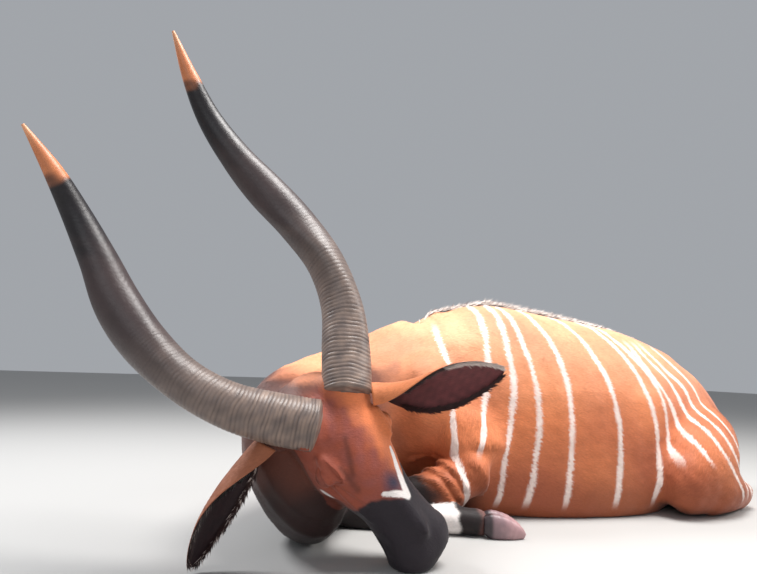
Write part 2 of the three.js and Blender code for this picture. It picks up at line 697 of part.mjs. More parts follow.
// the head's side of its parting plane, kept clear of the bend of the neck
const headSide = (gap) => halfSpace(
  neckToHead.point.clone().addScaledVector(neckToHead.normal, gap),
  neckToHead.normal.clone().negate(),
).intersect(block([-1400, -900, -50], [-600, -270 + gap, 700]));
const earBases = [ball([-930, -446, 322], [46, 40, 38]), ball([-1074, -444, 262], [44, 40, 46])];
const headAndNeck = join([neckWhole(0), headWhole(), ...earBases]);
const body = join([trunk(0), headAndNeck.subtract(headSide(partGap))]);
const [torsoPart, neckPart] = cutPair(body, neckToTrunk);

node('torso', onFloor(join([torsoPart, ...crestLocks()]).subtract(takenFromBody)), colours.coat);
node('neck', onFloor(neckPart.subtract(takenFromBody)), colours.coat);
node('head', onFloor(headAndNeck.intersect(headSide(0)).subtract(takenFromBody)), colours.coat);
node('tail', onFloor(tail(0)), colours.coat);
for (const [side, sign] of [['left', 1], ['right', -1]]) {
  node(`horn_${side}`, inHead(horn(sign)), colours.horn, 0.45);
  node(`ear_${side}`, onFloor(ears[side]), colours.ear);
  node(`eye_${side}`, eye(sign), colours.eye, 0.1);
}

export default group;
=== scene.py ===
import math

import bpy
import bmesh
import numpy as np
from mathutils import Matrix, Vector


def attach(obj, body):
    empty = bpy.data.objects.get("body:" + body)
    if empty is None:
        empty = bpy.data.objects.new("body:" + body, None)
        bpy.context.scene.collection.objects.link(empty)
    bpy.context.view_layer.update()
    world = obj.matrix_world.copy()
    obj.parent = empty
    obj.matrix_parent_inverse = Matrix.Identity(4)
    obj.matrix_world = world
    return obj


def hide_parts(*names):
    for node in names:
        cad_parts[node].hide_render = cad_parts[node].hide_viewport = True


# A bull bongo lying on its brisket: one skin with a short coat, crest, ears, horns, eyes, hooves and tail.
# Sizes are in millimetres, and are scaled to metres where a mesh is made.

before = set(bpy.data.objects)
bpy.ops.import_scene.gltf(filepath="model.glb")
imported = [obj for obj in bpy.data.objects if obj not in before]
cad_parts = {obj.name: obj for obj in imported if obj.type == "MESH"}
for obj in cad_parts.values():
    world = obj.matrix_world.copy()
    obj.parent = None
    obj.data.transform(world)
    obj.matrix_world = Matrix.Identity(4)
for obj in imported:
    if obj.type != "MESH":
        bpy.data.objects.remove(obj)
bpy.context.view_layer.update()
rng = np.random.default_rng(11)

MM = 0.001
COAT_DEPTH = 2.5
VOXEL = 5.0
FULL_TUFTS = 290000
TUFTS_PER_PIECE = 60000
EYE_CLEARANCE = 27.0
BAKE_PATCH = 0.003

# place of the head, as in the solids
HORN_CENTRE = np.array([-983.0, -510.0, 308.0])
NOSE_AIM = np.array([0.646, -0.163, -0.746])
LEFT_AIM = np.array([0.759, 0.240, 0.605])
SKULL = 366.0
EYE = np.array([91.0, 76.0, -40.0])
EYE_RADIUS = 19.0

# camera and picture
CAMERA_PLACE = (-1.2437, -1.5705, 0.385)
CAMERA_TURN = (18, 8, 2)
FOCAL_PIXELS = 568
PICTURE_WIDTH = 757
SENSOR_WIDTH = 36


def unit(v):
    v = np.asarray(v, float)
    return v / np.maximum(np.linalg.norm(v, axis=-1, keepdims=True), 1e-12)


def square_to(axis, v):
    # the part of a direction that is at right angles to a unit axis
    return unit(v - axis * (v * axis).sum(-1, keepdims=True))


nose = unit(NOSE_AIM)
left = square_to(nose, unit(LEFT_AIM))
dorsal = np.cross(nose, left)
HEAD = np.stack([nose, left, dorsal], axis=1)


def to_head(points):
    return (points - HORN_CENTRE) @ HEAD


def from_head(points):
    return np.asarray(points, float) @ HEAD.T + HORN_CENTRE


def step(low, high, x):
    t = np.clip((x - low) / (high - low), 0, 1)
    return t * t * (3 - 2 * t)


def band(x, rise, full, fall, end):
    return step(rise, full, x) * (1 - step(fall, end, x))


def srgb(r, g, b):
    c = np.array([r, g, b]) / 255
    return np.where(c <= 0.04045, c / 12.92, ((c + 0.055) / 1.055) ** 2.4)


def wobble(points, size, seed):
    # smooth seeded unevenness between about -1 and 1, with features of the given size
    draw = np.random.default_rng(seed)
    total = np.zeros(len(points))
    for _ in range(6):
        wave = unit(draw.normal(size=3)) * (2 * math.pi / size) * draw.uniform(0.6, 1.5)
        total += np.sin(points @ wave + draw.uniform(0, 2 * math.pi))
    return total / 3.2


def spline(values, t):
    values = np.asarray(values, float)
    last = len(values) - 1
    x = np.clip(t, 0, 1) * last
    i = np.minimum(x.astype(int), last - 1)
    f = x - i
    if values.ndim > 1:
        f = f[:, None]
    a = values[np.maximum(i - 1, 0)]
    b = values[i]
    c = values[i + 1]
    d = values[np.minimum(i + 2, last)]
    return 0.5 * (2 * b + (c - a) * f + (2 * a - 5 * b + 4 * c - d) * f**2 + (3 * b - a - 3 * c + d) * f**3)


def loft(stations, rings, sides, shape=None):
    # stations: centre, half width, up, down, squareness, direction of the section's top
    t = np.linspace(0, 1, rings + 1)
    half = 0.5 / rings
    centres = [s[0] for s in stations]
    at = spline(centres, t)
    along = unit(spline(centres, np.minimum(t + half, 1)) - spline(centres, np.maximum(t - half, 0)))
    top = spline([s[5] if len(s) > 5 else (0, 0, 1) for s in stations], t)
    top = square_to(along, top)
    side = np.cross(along, top)
    wide, up, down, square = (spline([s[k] for s in stations], t)[:, None] for k in (1, 2, 3, 4))
    angle = np.arange(sides) * 2 * math.pi / sides
    c, s = np.cos(angle), np.sin(angle)
    factor = 1 if shape is None else shape(t[:, None], angle[None, :])
    across = np.sign(c) * np.abs(c) ** (2 / square) * wide * factor
    high = np.sign(s) * np.abs(s) ** (2 / square) * np.where(s > 0, up, down) * factor
    points = at[:, None] + side[:, None] * across[..., None] + top[:, None] * high[..., None]
    points = np.concatenate([points.reshape(-1, 3), at[:1], at[-1:]])
    faces = []
    first = (rings + 1) * sides
    for j in range(rings):
        for i in range(sides):
            a, b = j * sides + i, j * sides + (i + 1) % sides
            faces.append((a, b, b + sides, a + sides))
    for i in range(sides):
        k = (i + 1) % sides
        faces.append((first, k, i))
        faces.append((first + 1, rings * sides + i, rings * sides + k))
    return points, faces


def ball(centre, radii, sides=24, rings=14):
    down, round_it = np.arange(rings + 1) * math.pi / rings, np.arange(sides) * 2 * math.pi / sides
    a, b = np.meshgrid(down, round_it, indexing="ij")
    points = np.stack([np.sin(a) * np.cos(b), np.sin(a) * np.sin(b), np.cos(a)], axis=-1).reshape(-1, 3)
    faces = []
    for j in range(rings):
        for i in range(sides):
            a, b = j * sides + i, j * sides + (i + 1) % sides
            faces.append((a, a + sides, b + sides, b))
    return points * radii + centre, faces


def placed(name, data):
    obj = bpy.data.objects.new(name, data)
    bpy.context.collection.objects.link(obj)
    return obj


def edit(mesh, change):
    bm = bmesh.new()
    bm.from_mesh(mesh)
    change(bm)
    bm.to_mesh(mesh)
    bm.free()


def weld(bm):
    bmesh.ops.remove_doubles(bm, verts=bm.verts, dist=1e-6)
    bmesh.ops.recalc_face_normals(bm, faces=bm.faces)


def make(name, points, faces, material=None, smooth=True):
    mesh = bpy.data.meshes.new(name)
    mesh.from_pydata((np.asarray(points) * MM).tolist(), [], [tuple(int(i) for i in f) for f in faces])
    mesh.validate()
    edit(mesh, weld)
    if material:
        mesh.materials.append(material)
    if smooth:
        mesh.polygons.foreach_set("use_smooth", [True] * len(mesh.polygons))
    return placed(name, mesh)


def read(mesh, field):
    flat = np.empty(len(mesh.vertices) * 3, np.float32)
    mesh.vertices.foreach_get(field, flat)
    return flat.reshape(-1, 3).astype(float)


def coords(mesh):
    return read(mesh, "co") / MM


def put(mesh, points):
    mesh.vertices.foreach_set("co", (points * MM).astype(np.float32).ravel())
    mesh.update()


def normals(mesh):
    return read(mesh, "normal")


def paint(mesh, name, colours):
    layer = mesh.color_attributes.new(name=name, type="FLOAT_COLOR", domain="POINT")
    full = np.ones((len(colours), 4), np.float32)
    full[:, :3] = colours
    layer.data.foreach_set("color", full.ravel())


# centre lines of the body's parts, with a rough radius: they give the lie of the coat and its unwrap
def other_side(line):
    return [(x, -y, z, r) for x, y, z, r in line]


def head_line():
    ends = from_head([[-80, 0, -90], [60, 0, -95], [200, 0, -90], [355, 0, -95]])
    return [(*p, r) for p, r in zip(ends, (95, 100, 66, 40))]


TUBES = {
    "trunk": [(-650, 0, 250, 190), (-400, 0, 250, 250), (0, 0, 235, 265), (250, 0, 215, 215),
              (495, 0, 190, 60)],
    "neck": [(-1010, -370, 225, 110), (-1000, -270, 215, 150), (-930, -150, 235, 170), (-800, -50, 260, 190),
             (-680, -10, 272, 200)],
    "head": head_line()[::-1],
    "foreleg_upper_left": [(-540, -190, 200, 90), (-570, -220, 105, 65), (-700, -206, 76, 45),
                           (-870, -158, 46, 40)],
    "foreleg_lower_left": [(-872, -178, 28, 26), (-735, -240, 28, 24), (-630, -284, 33, 33),
                           (-548, -320, 34, 30)],
    "hindleg_upper_left": [(300, -140, 230, 110), (160, -245, 136, 105), (60, -275, 90, 60)],
    "hindleg_lower_left": [(400, -180, 40, 34), (250, -152, 28, 24), (64, -147, 28, 26)],
    "tail": [(470, 0, 262, 30), (550, 8, 222, 22), (588, 22, 150, 18), (612, 44, 80, 16), (660, 95, 26, 20),
             (765, 200, 10, 12)],
}
for part in [n for n in TUBES if n.endswith("left")]:
    TUBES[part.replace("left", "right")] = other_side(TUBES[part])
TUBE_NAMES = list(TUBES)
# how far the hair hangs down on a part's sides
DROOP = {"trunk": 0.45, "neck": 0.3}


def along_tubes(points):
    # for each point: its part, how far along that it lies, its angle about it, and the part's direction
    best = np.full(len(points), np.inf)
    which = np.zeros(len(points), int)
    far = np.zeros(len(points))
    aim = np.zeros((len(points), 3))
    spin = np.zeros(len(points))
    for index, name in enumerate(TUBE_NAMES):
        line = np.array(TUBES[name])
        start = 0.0
        whole = np.linalg.norm(np.diff(line[:, :3], axis=0), axis=1).sum()
        for a, b in zip(line[:-1], line[1:]):
            ahead = b[:3] - a[:3]
            length = np.linalg.norm(ahead)
            ahead = ahead / length
            s = np.clip((points - a[:3]) @ ahead / length, 0, 1)
            foot = a[:3] + s[:, None] * ahead * length
            radius = a[3] + (b[3] - a[3]) * s
            apart = np.linalg.norm(points - foot, axis=1) / radius
            near = apart < best
            best = np.where(near, apart, best)
            which = np.where(near, index, which)
            far = np.where(near, (start + s * length) / whole, far)
            aim[near] = ahead
            upward = unit(np.array([0, 0, 1.0]) - ahead * ahead[2] + 1e-6)
            sideways = np.cross(ahead, upward)
            turn = np.arctan2((points - foot) @ sideways, (points - foot) @ upward)
            spin = np.where(near, turn, spin)
            start += length
    return which, far, spin, aim


def lie_of_coat(points, normal):
    # hair lies back along each part and down on the flanks, and on the face from the nose to the poll
    which, far, spin, aim = along_tubes(points)
    lie = aim.copy()
    lie[:, 2] -= np.array([DROOP.get(name, 0) for name in TUBE_NAMES])[which]
    lie += 0.12 * np.stack([wobble(points, 120, seed) for seed in (31, 32, 33)], axis=1)
    return square_to(normal, lie), which, far, spin


# stripes: places along the trunk at each height, from the back down, and the height where each ends
STRIPE_HEIGHTS = [600, 550, 460, 360, 250, 150, 40]
STRIPES = [
    [-455, -455, -468, -482, -512, -545, -560],
    [-395, -402, -414, -412, -430, -446, -447],
    [-368, -366, -363, -352, -350, -364, -372],
    [-305, -293, -270, -257, -257, -262, -268],
    [-205, -186, -152, -125, -112, -113, -119],
    [-110, -86, -48, -6, 17, 24, 12],
    [-70, -52, -14, 48, 70, 62, 30],
]
STRIPE_ENDS = [190, 40, 40, 40, 40, 40, 165]
HAUNCH_ENDS = [165, 50, 50, 50]
HAUNCH_HEIGHTS = [460, 410, 360, 300, 250, 190, 120, 50]
HAUNCH_STRIPES = [
    [10, 30, 62, 104, 114, 118, 150, 195],
    [40, 82, 138, 150, 166, 184, 238, 290],
    [75, 128, 188, 196, 214, 243, 298, 345],
    [150, 200, 246, 256, 266, 305, 352, 380],
]
SHOULDER_HEIGHTS = [480, 450, 400, 290, 160, 100, 60]
SHOULDER_STRIPE = [-596, -591, -586, -594, -596, -578, -566]
SHOULDER_END = 60


def stripes(points):
    x, y, z = points.T
    # the right side's stripes differ a little
    x = x + np.where(y > 0, 14 * np.sin(z / 90), 0)
    strength = np.zeros(len(points))
    sets = [(STRIPE_HEIGHTS, row, 7.5, end) for row, end in zip(STRIPES, STRIPE_ENDS)]
    sets += [(HAUNCH_HEIGHTS, row, 6.5, end) for row, end in zip(HAUNCH_STRIPES, HAUNCH_ENDS)]
    sets += [(SHOULDER_HEIGHTS, SHOULDER_STRIPE, 7.5, SHOULDER_END)]
    for heights, row, half, end in sets:
        zs = np.linspace(heights[-1], heights[0], 120)
        xs = np.interp(zs, heights[::-1], row[::-1])
        xs = np.convolve(np.pad(xs, 7, mode="edge"), np.ones(15) / 15, "valid")
        place = np.interp(z, zs, xs)
        slope = np.interp(z, zs, np.gradient(xs, zs))
        apart = np.abs(x - place) / np.sqrt(1 + slope**2)
        width = half * (1 + 0.22 * wobble(points, 70, 5))
        ends = step(end - 30, end + 15, z) * (1 - step(heights[0] - 2, heights[0] + 40, z))
        strength = np.maximum(strength, (1 - step(width * 0.8, width * 1.25, apart)) * ends)
    return strength * step(10, 60, z) * step(-640, -610, x)


def segment_distance(points, a, b):
    a, b = np.asarray(a, float), np.asarray(b, float)
    s = np.clip(((points - a) @ (b - a)) / ((b - a) @ (b - a)), 0, 1)
    return np.linalg.norm(points - a - s[:, None] * (b - a), axis=1), s


CHESTNUT = srgb(216, 126, 78)
# painted light: the top of the body is made lighter, as if lit from above
TOP_PAINTED_LIGHT = srgb(240, 176, 134)
# painted shade: the low parts of the body are made darker
LOW_PAINTED_SHADE = srgb(134, 66, 38)
# a rust-red tone that varies at random, also used as painted shade on the face's right side
RUST_TONE_AND_SHADE = srgb(150, 72, 50)
FACE_ORANGE = srgb(222, 124, 74)
# painted shade, on the neck's side, the lower face and the creases under the brow
PAINTED_SHADE_BROWN = srgb(78, 34, 24)
BLACK = srgb(30, 20, 21)
MUZZLE = srgb(34, 26, 34)
WHITE = srgb(240, 232, 228)
STRIPE_WHITE = srgb(240, 222, 214)
PINK = srgb(176, 124, 116)
SLATE = srgb(52, 46, 66)
BROW = srgb(146, 76, 64)
EAR_TIP = srgb(150, 80, 52)


def mix(base, colour, amount):
    return base + (colour - base) * np.clip(amount, 0, 1)[:, None]


def plain(colour, points):
    return np.repeat(colour[None], len(points), axis=0)


def layered(base, *layers):
    # each layer is a colour and how much of it covers what is below
    for colour, amount in layers:
        base = mix(base, colour, amount)
    return base


def markings(points):
    # one function gives the colours of both the skin and the coat
    x, y, z = points.T
    which = along_tubes(points)[0]
    names = np.array(TUBE_NAMES)[which]
    rough = wobble(points, 60, 3)
    on_thigh = np.char.startswith(names, "hindleg_upper")
    on_trunk = (names == "trunk") | on_thigh | ((x > -640) & (x < 420))
    # painted shade: the neck's side is darkened to brown below its top line, and to black towards the throat
    on_neck = 1 - step(-820, -660, x + 20 * rough)
    top_line = 365 + 0.23 * (np.clip(y, -350, -60) + 350)
    nape = np.maximum(step(-30, -8, z - top_line + 5 * rough), step(-150, -40, y))
    # brisket and front of the chest, black: partly the bull's own dark chest and partly painted shade near
    # the floor
    brisket = (1 - step(60, 120, z + 14 * rough)) * (1 - step(-560, -460, x)) * (np.abs(y) < 210)
    colour = layered(
        plain(CHESTNUT, points),
        # painted light: lighter towards the top of the body
        (TOP_PAINTED_LIGHT, step(230, 520, z + 15 * rough) * 0.85),
        # painted shade: darker low down
        (LOW_PAINTED_SHADE, (1 - step(20, 190, z + 14 * rough)) * 0.75),
        (RUST_TONE_AND_SHADE, 0.25 + 0.25 * wobble(points, 260, 8)),
        (STRIPE_WHITE, stripes(points) * on_trunk * 0.96),
        # painted shade on the neck's side, and black towards the throat
        (PAINTED_SHADE_BROWN, on_neck * (1 - nape) * 0.92),
        (BLACK, on_neck * (1 - step(90, 210, z + 20 * rough)) * 0.85),
        (BLACK, brisket),
    )
    colour = head_markings(points, colour, names)
    colour = leg_markings(points, colour, names)
    tail = names == "tail"
    return np.where(tail[:, None], mix(colour, BLACK, 1 - step(60, 130, z)), colour)


CHEVRON_POINT = [222, 16]
CHEVRON_ENDS = [[136, 49], [188, -20]]
CHEEK_SPOTS = [([128, 90, -96], 13), ([84, 92, -128], 12)]


def head_markings(points, colour, names):
    h = to_head(points)
    hx, hy, hz = h.T
    here = (names == "head").astype(float) * step(-60, -20, hx)
    rough = wobble(points, 30, 14)
    # a blue-black patch inside the chevron's point, and the black muzzle beyond the chevron
    patch = np.exp(-((hx - 186) / 24) ** 2 - ((hy - 8) / 22) ** 2) * (hz > -70)
    aside = hy - CHEVRON_POINT[1]
    slant = np.where(aside > 0, 1.7 * np.minimum(aside, 40), 0.75 * np.minimum(-aside, 60))
    face = layered(
        plain(BROW, points),
        (RUST_TONE_AND_SHADE, 0.5 + 0.5 * rough),
        (FACE_ORANGE, step(2, 44, hy + 6 * rough) * 0.9),
        # painted shade: the face's right side darker
        (RUST_TONE_AND_SHADE, step(30, 75, -hy) * 0.7),
        # painted shade: the lower face darker towards the jaw
        (PAINTED_SHADE_BROWN, (1 - step(-150, -85, hz + 8 * rough)) * 0.75 * (hy < 30)),
        (SLATE, patch),
        (MUZZLE, step(222, 232, hx + slant + 2.5 * rough)),
    )
    # white chevron across the nose, its point towards the muzzle
    for end in CHEVRON_ENDS:
        apart, s = segment_distance(h[:, :2], CHEVRON_POINT, end)
        width = 8.5 - 4.5 * s + 0.8 * rough
        face = mix(face, WHITE, (1 - step(width * 0.75, width * 1.2, apart)) * (hz > -80))
    # painted shade in the creases under the right brow
    for start, end in (([60, -20], [120, -46]), ([96, -58], [150, -52])):
        apart = segment_distance(h[:, :2], start, end)[0]
        face = mix(face, PAINTED_SHADE_BROWN, np.exp(-((apart / 6) ** 2)) * 0.55 * (hz > -60))
    # white cheek spots, lips and chin
    for spot, size in CHEEK_SPOTS:
        for side in (1, -1):
            apart = np.linalg.norm((h - np.array(spot) * [1, side, 1]) * [0.8, 0.4, 1], axis=1)
            face = mix(face, WHITE, 1 - step(size * 0.8, size * 1.15, apart + rough))
    face = mix(face, WHITE, step(306, 322, hx) * (1 - step(-122, -112, hz)) * 0.9)
    # dark skin round the eyes
    for side in (1, -1):
        apart = np.linalg.norm((h - EYE * [1, side, 1]) * [0.8, 0.6, 1], axis=1)
        face = mix(face, BLACK, (1 - step(9, 20, apart)) * 0.8)
    return colour + (face - colour) * here[:, None]


def leg_markings(points, colour, names):
    x, _, z = points.T
    rough = wobble(points, 40, 21)
    fore_up = np.char.startswith(names, "foreleg_upper")
    dark = 1 - step(-656, -604, x + 0.6 * (z - 50) + 12 * rough)
    colour = np.where(fore_up[:, None], mix(colour, BLACK, dark), colour)
    fore_low = np.char.startswith(names, "foreleg_lower")
    shade = mix(plain(BLACK, points), PINK, band(x, -750, -730, -700, -685) * 0.5)
    shade = mix(shade, WHITE, band(x + 4 * rough, -676, -664, -622, -612))
    shade = mix(shade, PINK, step(-578, -560, x + 5 * rough) * 0.45)
    colour = np.where(fore_low[:, None], shade, colour)
    hind_low = np.char.startswith(names, "hindleg_lower")
    shade = mix(plain(BLACK, points), CHESTNUT, step(330, 380, x + 8 * rough))
    shade = mix(shade, WHITE, band(x + 4 * rough, 176, 188, 214, 226))
    return np.where(hind_low[:, None], shade, colour)


# materials
def new_material(name):
    material = bpy.data.materials.new(name)
    material.use_nodes = True
    tree = material.node_tree
    return material, tree, tree.nodes, tree.nodes["Principled BSDF"]


def noise_node(nodes, scale, detail):
    noise = nodes.new("ShaderNodeTexNoise")
    noise.inputs["Scale"].default_value = scale
    noise.inputs["Detail"].default_value = detail
    return noise


def range_node(tree, source, low, high):
    tone = tree.nodes.new("ShaderNodeMapRange")
    tone.inputs["To Min"].default_value = low
    tone.inputs["To Max"].default_value = high
    tree.links.new(source, tone.inputs["Value"])
    return tone.outputs["Result"]


def marked_colour(tree, shader, tone):
    # the mesh's own markings, lightened and darkened by the tone
    attribute = tree.nodes.new("ShaderNodeAttribute")
    attribute.attribute_name = "marking"
    scaled = tree.nodes.new("ShaderNodeVectorMath")
    scaled.operation = "SCALE"
    tree.links.new(attribute.outputs["Color"], scaled.inputs[0])
    tree.links.new(tone, scaled.inputs["Scale"])
    tree.links.new(scaled.outputs["Vector"], shader.inputs["Base Color"])


def raised(tree, shader, source, strength, distance):
    height = tree.nodes.new("ShaderNodeBump")
    height.inputs["Strength"].default_value = strength
    height.inputs["Distance"].default_value = distance
    tree.links.new(source, height.inputs["Height"])
    tree.links.new(height.outputs["Normal"], shader.inputs["Normal"])


def coat_material(name, bump, roughness, sheen):
    material, tree, nodes, shader = new_material(name)
    place = nodes.new("ShaderNodeTexCoord")
    stretch = nodes.new("ShaderNodeMapping")
    stretch.inputs["Scale"].default_value = (55, 260, 150)
    noise = noise_node(nodes, 2.2, 5)
    tree.links.new(place.outputs["Object"], stretch.inputs["Vector"])
    tree.links.new(stretch.outputs["Vector"], noise.inputs["Vector"])
    marked_colour(tree, shader, range_node(tree, noise.outputs["Fac"], 0.80, 1.16))
    raised(tree, shader, noise.outputs["Fac"], bump, 0.002)
    shader.inputs["Roughness"].default_value = roughness
    shader.inputs["Sheen Weight"].default_value = sheen
    shader.inputs["Sheen Roughness"].default_value = 0.45
    shader.inputs["Specular IOR Level"].default_value = 0.35
    return material


def horn_material():
    material, tree, nodes, shader = new_material("horn_surface")
    place = nodes.new("ShaderNodeTexCoord")
    grain = noise_node(nodes, 160, 6)
    patches = noise_node(nodes, 22, 4)
    for noise in (grain, patches):
        tree.links.new(place.outputs["Object"], noise.inputs["Vector"])
    marked_colour(tree, shader, range_node(tree, patches.outputs["Fac"], 0.62, 1.4))
    gloss = range_node(tree, grain.outputs["Fac"], 0.30, 0.55)
    tree.links.new(gloss, shader.inputs["Roughness"])
    raised(tree, shader, grain.outputs["Fac"], 0.35, 0.0015)
    return material


def eye_material():
    material, tree, nodes, shader = new_material("eye_surface")
    place = nodes.new("ShaderNodeTexCoord")
    noise = noise_node(nodes, 90, 2)
    ramp = nodes.new("ShaderNodeValToRGB")
    ramp.color_ramp.elements[0].color = (0.010, 0.006, 0.005, 1)
    ramp.color_ramp.elements[1].color = (0.050, 0.026, 0.016, 1)
    tree.links.new(place.outputs["Object"], noise.inputs["Vector"])
    tree.links.new(noise.outputs["Fac"], ramp.inputs["Fac"])
    tree.links.new(ramp.outputs["Color"], shader.inputs["Base Color"])
    shader.inputs["Roughness"].default_value = 0.12
    shader.inputs["Coat Weight"].default_value = 1.0
    return material


skin_surface = coat_material("skin_surface", 0.5, 0.62, 0.1)
tuft_surface = coat_material("tuft_surface", 0.1, 0.6, 0.15)
horn_surface = horn_material()
eye_surface = eye_material()

# the head's own form, finer than the solid's
HEAD_STATIONS = [
    ((-88, 0, -82), 30, 26, 40, 2.0),
    ((-66, 0, -84), 66, 58, 78, 2.1),
    ((-30, 0, -90), 82, 84, 104, 2.3),
    ((20, 0, -96), 87, 98, 110, 2.5),
    ((70, 0, -94), 88, 100, 110, 2.6),
    ((120, 0, -92), 80, 90, 98, 2.6),
    ((170, 0, -92), 67, 78, 80, 2.6),
    ((220, 0, -90), 59, 66, 67, 2.6),
    ((274, 0, -90), 61, 57, 60, 2.6),
    ((318, 0, -92), 72, 50, 56, 2.5),
    ((SKULL - 14, 0, -96), 56, 39, 42, 2.4),
    ((SKULL, 0, -98), 18, 15, 15, 2.0),
]
HEAD_BALLS = [
    ((84, 70, -24), (38, 25, 20)),
    ((92, 64, -98), (62, 26, 46)),
    ((6, 54, -130), (60, 32, 58)),
    ((-8, 50, -24), (54, 50, 34)),
    (tuple(EYE), (25, 22, 24)),
]
EAR_BASES = [((-930, -446, 322), (46, 40, 38)), ((-1074, -444, 262), (44, 40, 46))]
SHOULDERS = [((-645, side * 112, 290), (125, 112, 150)) for side in (1, -1)]
TAIL_WIDTHS = [
    ((430, 0, 262), 30, 26), ((490, 0, 262), 27, 24), ((550, 8, 222), 22, 20), ((588, 22, 150), 18, 17),
    ((612, 44, 80), 16, 15), ((640, 74, 36), 15, 14), ((690, 126, 18), 12, 11), ((740, 176, 12), 6, 6),
]
TAIL_STATIONS = [(centre, wide, high, high, 2.0) for centre, wide, high in TAIL_WIDTHS]
FLESH = ["torso", "neck", "head"]
FLESH += [f"{leg}_{part}_{side}" for leg in ("foreleg", "hindleg") for part in ("upper", "lower")
          for side in ("left", "right")]
# how far each solid is grown, so that the gaps between them close
GROWN = 0.5
# the bridge of the nose
NOSE_BRIDGE = ((200, 0, -30), (110, 24, 14))
# the back's line: places along the body and their heights
SPINE_PLACES = [-700, -640, -570, -400, -230, -60, 60, 160, 250, 330, 400, 460, 505]
SPINE_TOPS = [310, 478, 553, 590, 570, 550, 534, 508, 470, 418, 350, 290, 250]


def flesh_points():
    # the solids of the flesh, with the head's finer forms, as one set of closed shells
    points, faces = [], []
    count = 0

    def add(p, f):
        nonlocal count
        points.append(p)
        faces.extend([tuple(i + count for i in face) for face in f])
        count += len(p)

    for name in FLESH:
        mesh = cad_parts[name].data
        add(coords(mesh) + normals(mesh) * GROWN, [tuple(poly.vertices) for poly in mesh.polygons])
    p, f = loft(HEAD_STATIONS, 70, 56)
    add(from_head(p), f)
    for centre, radii in HEAD_BALLS:
        for side in (1, -1):
            p, f = ball(np.array(centre) * [1, side, 1], radii)
            add(from_head(p), f)
    p, f = ball(*NOSE_BRIDGE)
    add(from_head(p), f)
    for centre, radii in EAR_BASES + SHOULDERS:
        add(*ball(centre, radii))
    add(*loft(TAIL_STATIONS, 60, 20))
    return np.concatenate(points), faces


def spine_top(x):
    return np.interp(x, SPINE_PLACES, SPINE_TOPS)


def neighbours(mesh):
    edges = np.empty(len(mesh.edges) * 2, np.int32)
    mesh.edges.foreach_get("vertices", edges)
    edges = edges.reshape(-1, 2)
    degree = np.bincount(edges.ravel(), minlength=len(mesh.vertices)).astype(float)
    return edges, np.maximum(degree, 1)


def relax(points, edges, degree, weight, rounds):
    for _ in range(rounds):
        total = np.zeros_like(points)
        for k in range(3):
            total[:, k] = (np.bincount(edges[:, 0], points[edges[:, 1], k], len(points))
                           + np.bincount(edges[:, 1], points[edges[:, 0], k], len(points)))
        points = points + (total / degree[:, None] - points) * weight[:, None]
    return points


def near_head(h):
    return np.linalg.norm(h[:, 1:] - [0, -90], axis=1) < 190


def skin_shape():
    points, faces = flesh_points()
    rough = make("flesh", points, faces, smooth=False)
    remesh = rough.modifiers.new("remesh", "REMESH")
    remesh.mode = "VOXEL"
    remesh.voxel_size = VOXEL * MM
    graph = bpy.context.evaluated_depsgraph_get()
    mesh = bpy.data.meshes.new_from_object(rough.evaluated_get(graph))
    bpy.data.objects.remove(rough)
    edit(mesh, keep_largest)
    edges, degree = neighbours(mesh)
    p = coords(mesh)
    # the solid's crest is lowered to the back's line, and the crest of hair takes its place
    over_back = (np.abs(p[:, 1]) < 60) & (p[:, 0] > -640) & (p[:, 0] < 420)
    p[over_back, 2] = np.minimum(p[over_back, 2], spine_top(p[over_back, 0]) + 1)
    h = to_head(p)
    head = step(-60, 0, h[:, 0]) * near_head(h)
    floor = 1 - step(2, 12, p[:, 2])
    soft = (1 - head) * (1 - floor) * 0.6 + 0.05 * (1 - floor)
    p = relax(p, edges, degree, soft * np.where(p[:, 2] < 70, 0.5, 1), 45)
    p = relax(p, edges, degree, 0.45 * (1 - floor), 5)
    p[:, 2] = np.maximum(p[:, 2], 0.5)
    put(mesh, p)
    edit(mesh, refine)
    return mesh


def keep_largest(bm):
    seen = set()
    groups = []
    for vert in bm.verts:
        if vert in seen:
            continue
        seen.add(vert)
        group = [vert]
        for v in group:
            fresh = [e.other_vert(v) for e in v.link_edges if e.other_vert(v) not in seen]
            seen.update(fresh)
            group.extend(fresh)
        groups.append(group)
    groups.sort(key=len)
    for group in groups[:-1]:
        bmesh.ops.delete(bm, geom=group, context="VERTS")


def divide(bm, chosen):
    inside = {v for v in bm.verts if chosen(to_head(np.array(v.co) / MM))}
    edges = [e for e in bm.edges if e.verts[0] in inside and e.verts[1] in inside]
    bmesh.ops.subdivide_edges(bm, edges=edges, cuts=1, use_grid_fill=True)


def refine(bm):
    # the face is divided once, and the skin round each eye once more
    bm.verts.ensure_lookup_table()
    divide(bm, lambda h: h[0] > -10 and abs(h[1]) < 140 and -240 < h[2] < 60)
    for side in (1, -1):
        divide(bm, lambda h: np.linalg.norm(h - EYE * [1, side, 1]) < 46)
    bmesh.ops.triangulate(bm, faces=[f for f in bm.faces if len(f.verts) > 4])


def ridge(points, path, width, height):
    # a long low swelling, or a groove if the height is negative, along a path
    nearest = np.full(len(points), np.inf)
    for a, b in zip(path[:-1], path[1:]):
        nearest = np.minimum(nearest, segment_distance(points, a, b)[0])
    return height * np.exp(-((nearest / width) ** 2))


